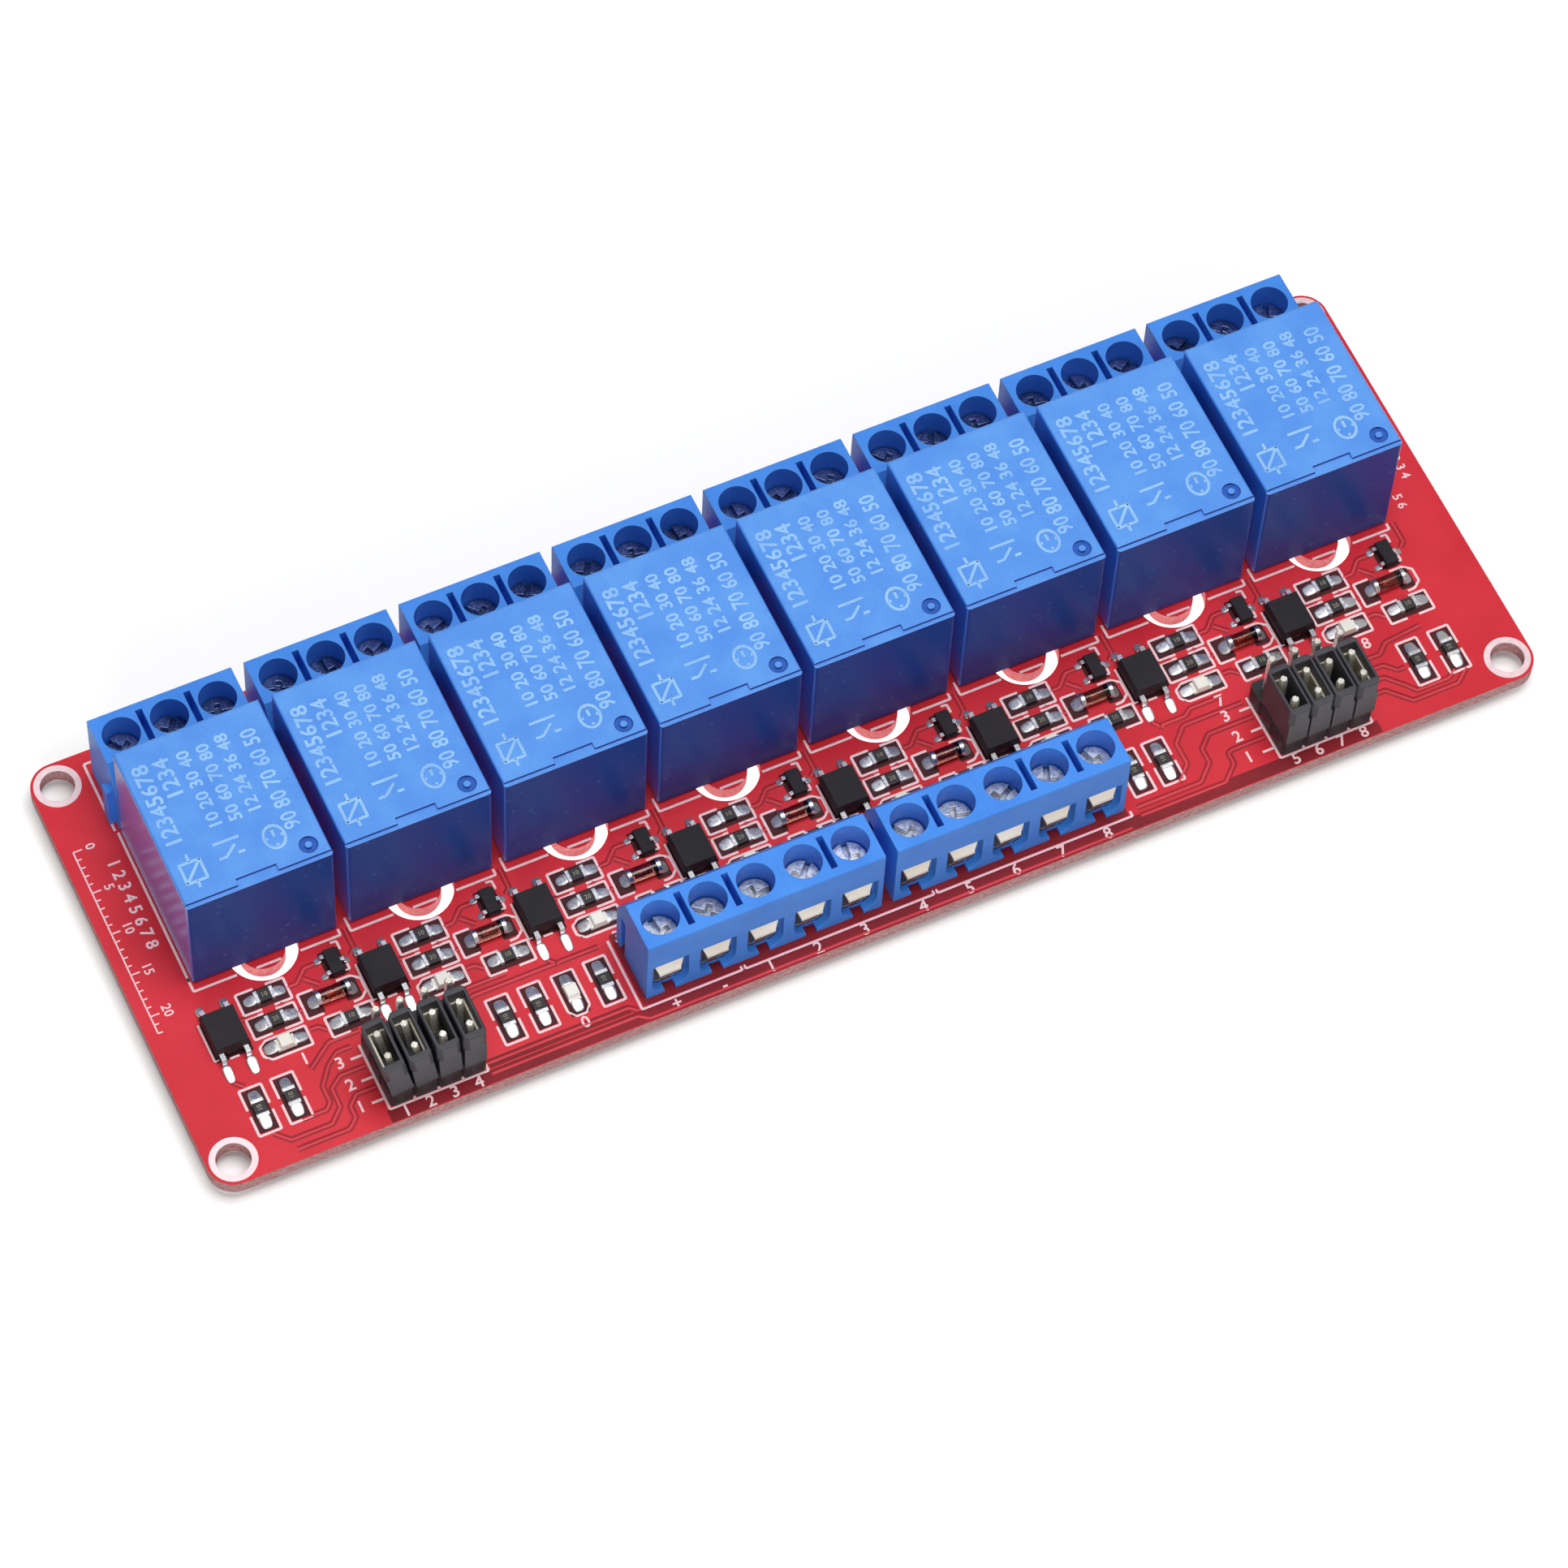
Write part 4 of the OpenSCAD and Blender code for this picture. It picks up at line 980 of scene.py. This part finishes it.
def diodeCores():
    # a copper core inside each glass diode
    low, high = nodeBox("diode_glass")
    startClean()
    bpy.ops.mesh.primitive_cylinder_add(
        vertices=diodeCore["sides"], radius=diodeCore["radius"] * mm, depth=diodeCore["long"] * mm,
        location=(0, 0, (low.z + high.z) / 2 * mm), rotation=(0, math.pi / 2, 0))
    piece = settle(bpy.context.object)
    soften = piece.modifiers.new("soften", "BEVEL")
    soften.width, soften.segments = diodeCore["soften"] * mm, diodeCore["segments"]
    bpy.ops.object.modifier_apply(modifier=soften.name)
    bpy.ops.object.shade_smooth_by_angle(angle=math.radians(diodeCore["smooth"]))
    spots = [(x + diodeSpot[0], relayFront + diodeSpot[1]) for x in relayMid]
    return joinPieces(copyAt(piece, spots), "diode_cores")


addFinish("coreCopper", {"colour": (178, 92, 66), "stain": (120, 52, 38), "grain": 0.2,
                         "edgeRound": 0.05, "rough": 0.35, "depth": 0.01, "metal": 0.7})
finishPiece(diodeCores(), "coreCopper")
print("diode cores set")


# solder at the feet of the small parts; a taper is how far out, how narrow and how low
drop = {"long": 1.4, "wide": 1.3, "tall": 0.525, "sunk": 0.03, "smooth": 2,
        "taper": ((0.5, 0.95, 0.62), (1.0, 0.75, 0.25))}
dropSpread = {"long": (0.92, 1.06), "wide": (0.9, 1.05), "tall": (0.85, 1.15)}
optoFoot = {"side": 1.27, "front": -3.1, "back": 2.9}
transistorFoot = (1.0, 0.95)
diodeFoot = 1.5


def solderDrop():
    # a fillet that climbs to the part at X = 0 and runs out along +X
    startClean()
    bpy.ops.mesh.primitive_cube_add(size=1, location=(0.5, 0, 0.5))
    piece = bpy.context.object
    bpy.ops.object.transform_apply(location=True)
    bpy.ops.object.mode_set(mode="EDIT")
    bpy.ops.mesh.select_all(action="SELECT")
    bpy.ops.mesh.subdivide(number_cuts=1)
    for outward, narrow, low in drop["taper"]:
        pick(piece, lambda at: abs(at.x - outward) < 0.1)
        bpy.ops.transform.resize(value=(1, narrow, low), center_override=(outward, 0, 0))
    bpy.ops.object.mode_set(mode="OBJECT")
    soften = piece.modifiers.new("soften", "SUBSURF")
    soften.levels = soften.render_levels = drop["smooth"]
    bpy.ops.object.modifier_apply(modifier=soften.name)
    bpy.ops.object.shade_smooth()
    piece.scale = (drop["long"] * mm, drop["wide"] * mm, drop["tall"] * mm)
    piece.location.z = (boardTop - drop["sunk"]) * mm
    return nameIt(settle(piece), "solder_drop")


def dropsAt(places):
    # places: (x, y, turn, length, width, height), the last three as shares of the drop's own
    seed = solderDrop()
    level = boardTop * mm
    out = []
    for x, y, turn, long, wide, tall in places:
        twin = twinOf(seed)
        shape = Matrix.Diagonal((long, wide, tall, 1))
        move = Matrix.Translation((x * mm, y * mm, level)) @ Matrix.Rotation(math.radians(turn), 4, "Z")
        twin.matrix_world = move @ shape @ Matrix.Translation((0, 0, -level))
        out.append(settle(twin))
    remove(seed)
    return joinPieces(out, "solder_fillets")


def solderPlaces():
    random.seed(4)
    places = []

    def add(x, y, turn, long=1.0, wide=1.0, tall=1.0):
        shares = [share * random.uniform(*dropSpread[key])
                  for key, share in (("long", long), ("wide", wide), ("tall", tall))]
        places.append((x, y, turn, *shares))

    for x in relayMid:
        for dx, dy in chipSpots + [lampSpot]:
            add(x + dx + footOut, relayFront + dy, 0)
            add(x + dx - footOut, relayFront + dy, 180)
        backX, backY = x + transistorSpot[0], relayFront + transistorSpot[1]
        for side in (-1, 1):
            footX = x + optoX + side * optoFoot["side"]
            add(footX, optoMid + optoFoot["front"], -90, 1.25, 0.85, 1.0)
            add(footX, optoMid + optoFoot["back"], 90, 0.75, 0.75, 1.0)
            add(backX - transistorFoot[0], backY + side * transistorFoot[1], 180, 0.5, 0.6, 0.7)
            diodeX = x + diodeSpot[0] + side * diodeFoot
            add(diodeX, relayFront + diodeSpot[1], 90 - 90 * side, 0.75, 1.15, 1.5)
        add(backX + transistorFoot[0], backY, 0, 0.5, 0.6, 0.7)
    for x, y in edgeChips + [powerLamp]:
        add(x, y + footOut, 90)
        add(x, y - footOut, -90)
    return places


finishPiece(dropsAt(solderPlaces()), "solder")
print("solder set")


# marks moulded on the relays, painted a paler blue than the cover as a painted sheen on the raised marks
addFinish("relayMark", {"colour": (152, 202, 248), "shade": (130, 184, 242), "edge": (196, 226, 252),
                        "grain": 0.1, "edgeRound": 0.03, "edgeLight": 0.4, "rough": 0.5, "depth": 0.006})

mould = {"height": 0.04, "line": 0.34, "ease": 0.08, "big": 1.65, "small": 1.3, "bold": 0.05}
dial = {"x": 3.1, "y": 3.9, "sides": 16, "rim": (1.05, 1.3), "tick": ((0.65, 0.8), (0.85, 1.05)),
        "hand": 0.9}


def relayMarks():
    # plain figures, a coil, a contact and a dial, the same on every cover
    front = relayFront
    coilLeft, coilRight, coilFront, coilBack = -6.5, -4.4, front + 2.4, front + 4.6
    coilMid = (coilLeft + coilRight) / 2
    lines = [
        [(coilLeft, coilFront), (coilLeft, coilBack), (coilRight, coilBack), (coilRight, coilFront),
         (coilLeft, coilFront)],
        [(coilLeft, coilFront), (coilRight, coilBack)],
        [(coilMid, front + 1.6), (coilMid, coilFront)],
        [(coilMid, coilBack), (coilMid, front + 5.5)],
        [(-2.7, front + 3.7), (-1.9, front + 3.7), (-0.7, front + 4.7)],
        [(-0.7, front + 3.7), (0.0, front + 3.7)],
        [(-2.7, front + 5.4), (0.0, front + 5.4)],
    ]
    dialX, dialY, sides = dial["x"], front + dial["y"], dial["sides"]

    def onDial(size, k):
        angle = k * 2 * math.pi / sides
        return dialX + size[0] * math.cos(angle), dialY + size[1] * math.sin(angle)

    rim = [onDial(dial["rim"], k) for k in range(sides)]
    lines += [rim + [rim[0]], [(dialX, dialY), (dialX, dialY + dial["hand"])]]
    lines += [[onDial(end, k) for end in dial["tick"]] for k in range(0, sides, 4)]
    drawn = drawLines(lines, mould["line"], mould["height"], relayTop, "mark_lines", ease=mould["ease"])
    wide = [("12345678", -5.85, 11.5, 9.4), ("1234", -3.7, 13.9, 4.4), ("90 80 70 60 50", 5.3, 10.0, 12.0)]
    small = [("10 20 30 40", -1.45, 11.6, 9.0), ("50 60 70 80", 0.6, 11.6, 9.2),
             ("12 24 36 48", 2.65, 11.8, 9.2)]
    out = [drawn]
    for rows, size, name in ((wide, mould["big"], "mark_wide"), (small, mould["small"], "mark_small")):
        marks = [(text, x, front + y, 90, long) for text, x, y, long in rows]
        out.append(writeMarks(marks, size, mould["height"], relayTop, name, bold=mould["bold"]))
    return joinPieces(out, "relay_marks")


marks = joinPieces(copyAt(relayMarks(), [(x, 0) for x in relayMid]), "relay_marks")
finishPiece(marks, "relayMark")
print("relay marks set")


# floor, background and lamps
studio = {
    "floorSize": 6, "floorGap": 0.0001, "paper": ((150, 150, 152), (156, 156, 158)), "paperGrain": 2.0,
    "paperGlow": 0.1, "slotGlow": 0.95, "slotRow": -3.45, "slotHalf": 2.2, "slotLength": 66,
    "slotFade": (0.25, 1), "worldLight": 0.3,
}
white = (1, 1, 1, 1)


def lightThrough(tree):
    # painted light: a glowing band on the paper under the row of slots in front of the relays, lifting the
    # board's shadow there so the paper shows white through the slots
    at = axes(tree, objectPlace(tree))
    half, length, (fadeY, fadeX) = studio["slotHalf"], studio["slotLength"], studio["slotFade"]
    inRow = spread(tree, offAxis(tree, at["Y"], studio["slotRow"]), (half + fadeY) * mm, half * mm)
    return times(tree, inRow, spread(tree, offAxis(tree, at["X"]), (length + fadeX) * mm, length * mm))


def makeStage():
    # paper that the camera sees as white, while the light it sends back is a soft grey
    level = floorLevel - studio["floorGap"]
    startClean()
    bpy.ops.mesh.primitive_plane_add(size=studio["floorSize"], location=(0, 0, level))
    floor = nameIt(bpy.context.object, "studio_floor")
    material, tree, shader = newFinish("floorPaper")
    seen = addNode(tree, "ShaderNodeLightPath").outputs
    direct = calc(tree, "ADD", seen["Is Camera Ray"], seen["Is Glossy Ray"], clamp=True)
    direct = calc(tree, "ADD", direct, seen["Is Transmission Ray"], clamp=True)
    grain = useGroup(tree, grainGroup, Size=studio["paperGrain"])
    grey = mixColour(tree, grain["Fine"], *(paint(*tone) for tone in studio["paper"]))
    soft = calc(tree, "ADD", seen["Is Camera Ray"], seen["Is Diffuse Ray"], clamp=True)
    # painted light under the slots, seen by the camera and by diffuse rays
    through = times(tree, times(tree, soft, lightThrough(tree)), studio["slotGlow"])
    glow = calc(tree, "ADD", times(tree, direct, studio["paperGlow"]), through)
    give(tree, shader, colour=mixColour(tree, direct, grey, white), rough=0.9, specular=0.0,
         glow=white, glowBy=glow)
    floor.data.materials.append(material)


def makeWorld():
    world = bpy.data.worlds.new("studioWorld")
    scene.world = world
    world.use_nodes = True
    tree = world.node_tree
    back = next(n for n in tree.nodes if n.type == "BACKGROUND")
    seen = addNode(tree, "ShaderNodeLightPath").outputs
    strength = spread(tree, seen["Is Camera Ray"], 0, 1, studio["worldLight"], 1.0)
    tree.links.new(strength, back.inputs["Strength"])
    back.inputs["Color"].default_value = white


# place, size in metres, power in watts
lamps = {"topLamp": ((0.08, -0.04, 0.95), 0.55, 6.2), "frontLamp": ((-0.35, -0.9, 0.5), 0.6, 3.2)}


def makeLamps():
    # square lamps, turned to the object's middle
    startClean()
    for name, (place, size, power) in lamps.items():
        bpy.ops.object.light_add(type="AREA", location=place)
        lamp = bpy.context.object
        lamp.name = name
        lamp.data.shape = "SQUARE"
        lamp.data.size = size
        lamp.data.energy = power
        lamp.rotation_euler = (-Vector(place)).to_track_quat("-Z", "Y").to_euler()


makeStage()
makeWorld()
makeLamps()
scene.view_settings.view_transform = "Standard"
print("stage set")
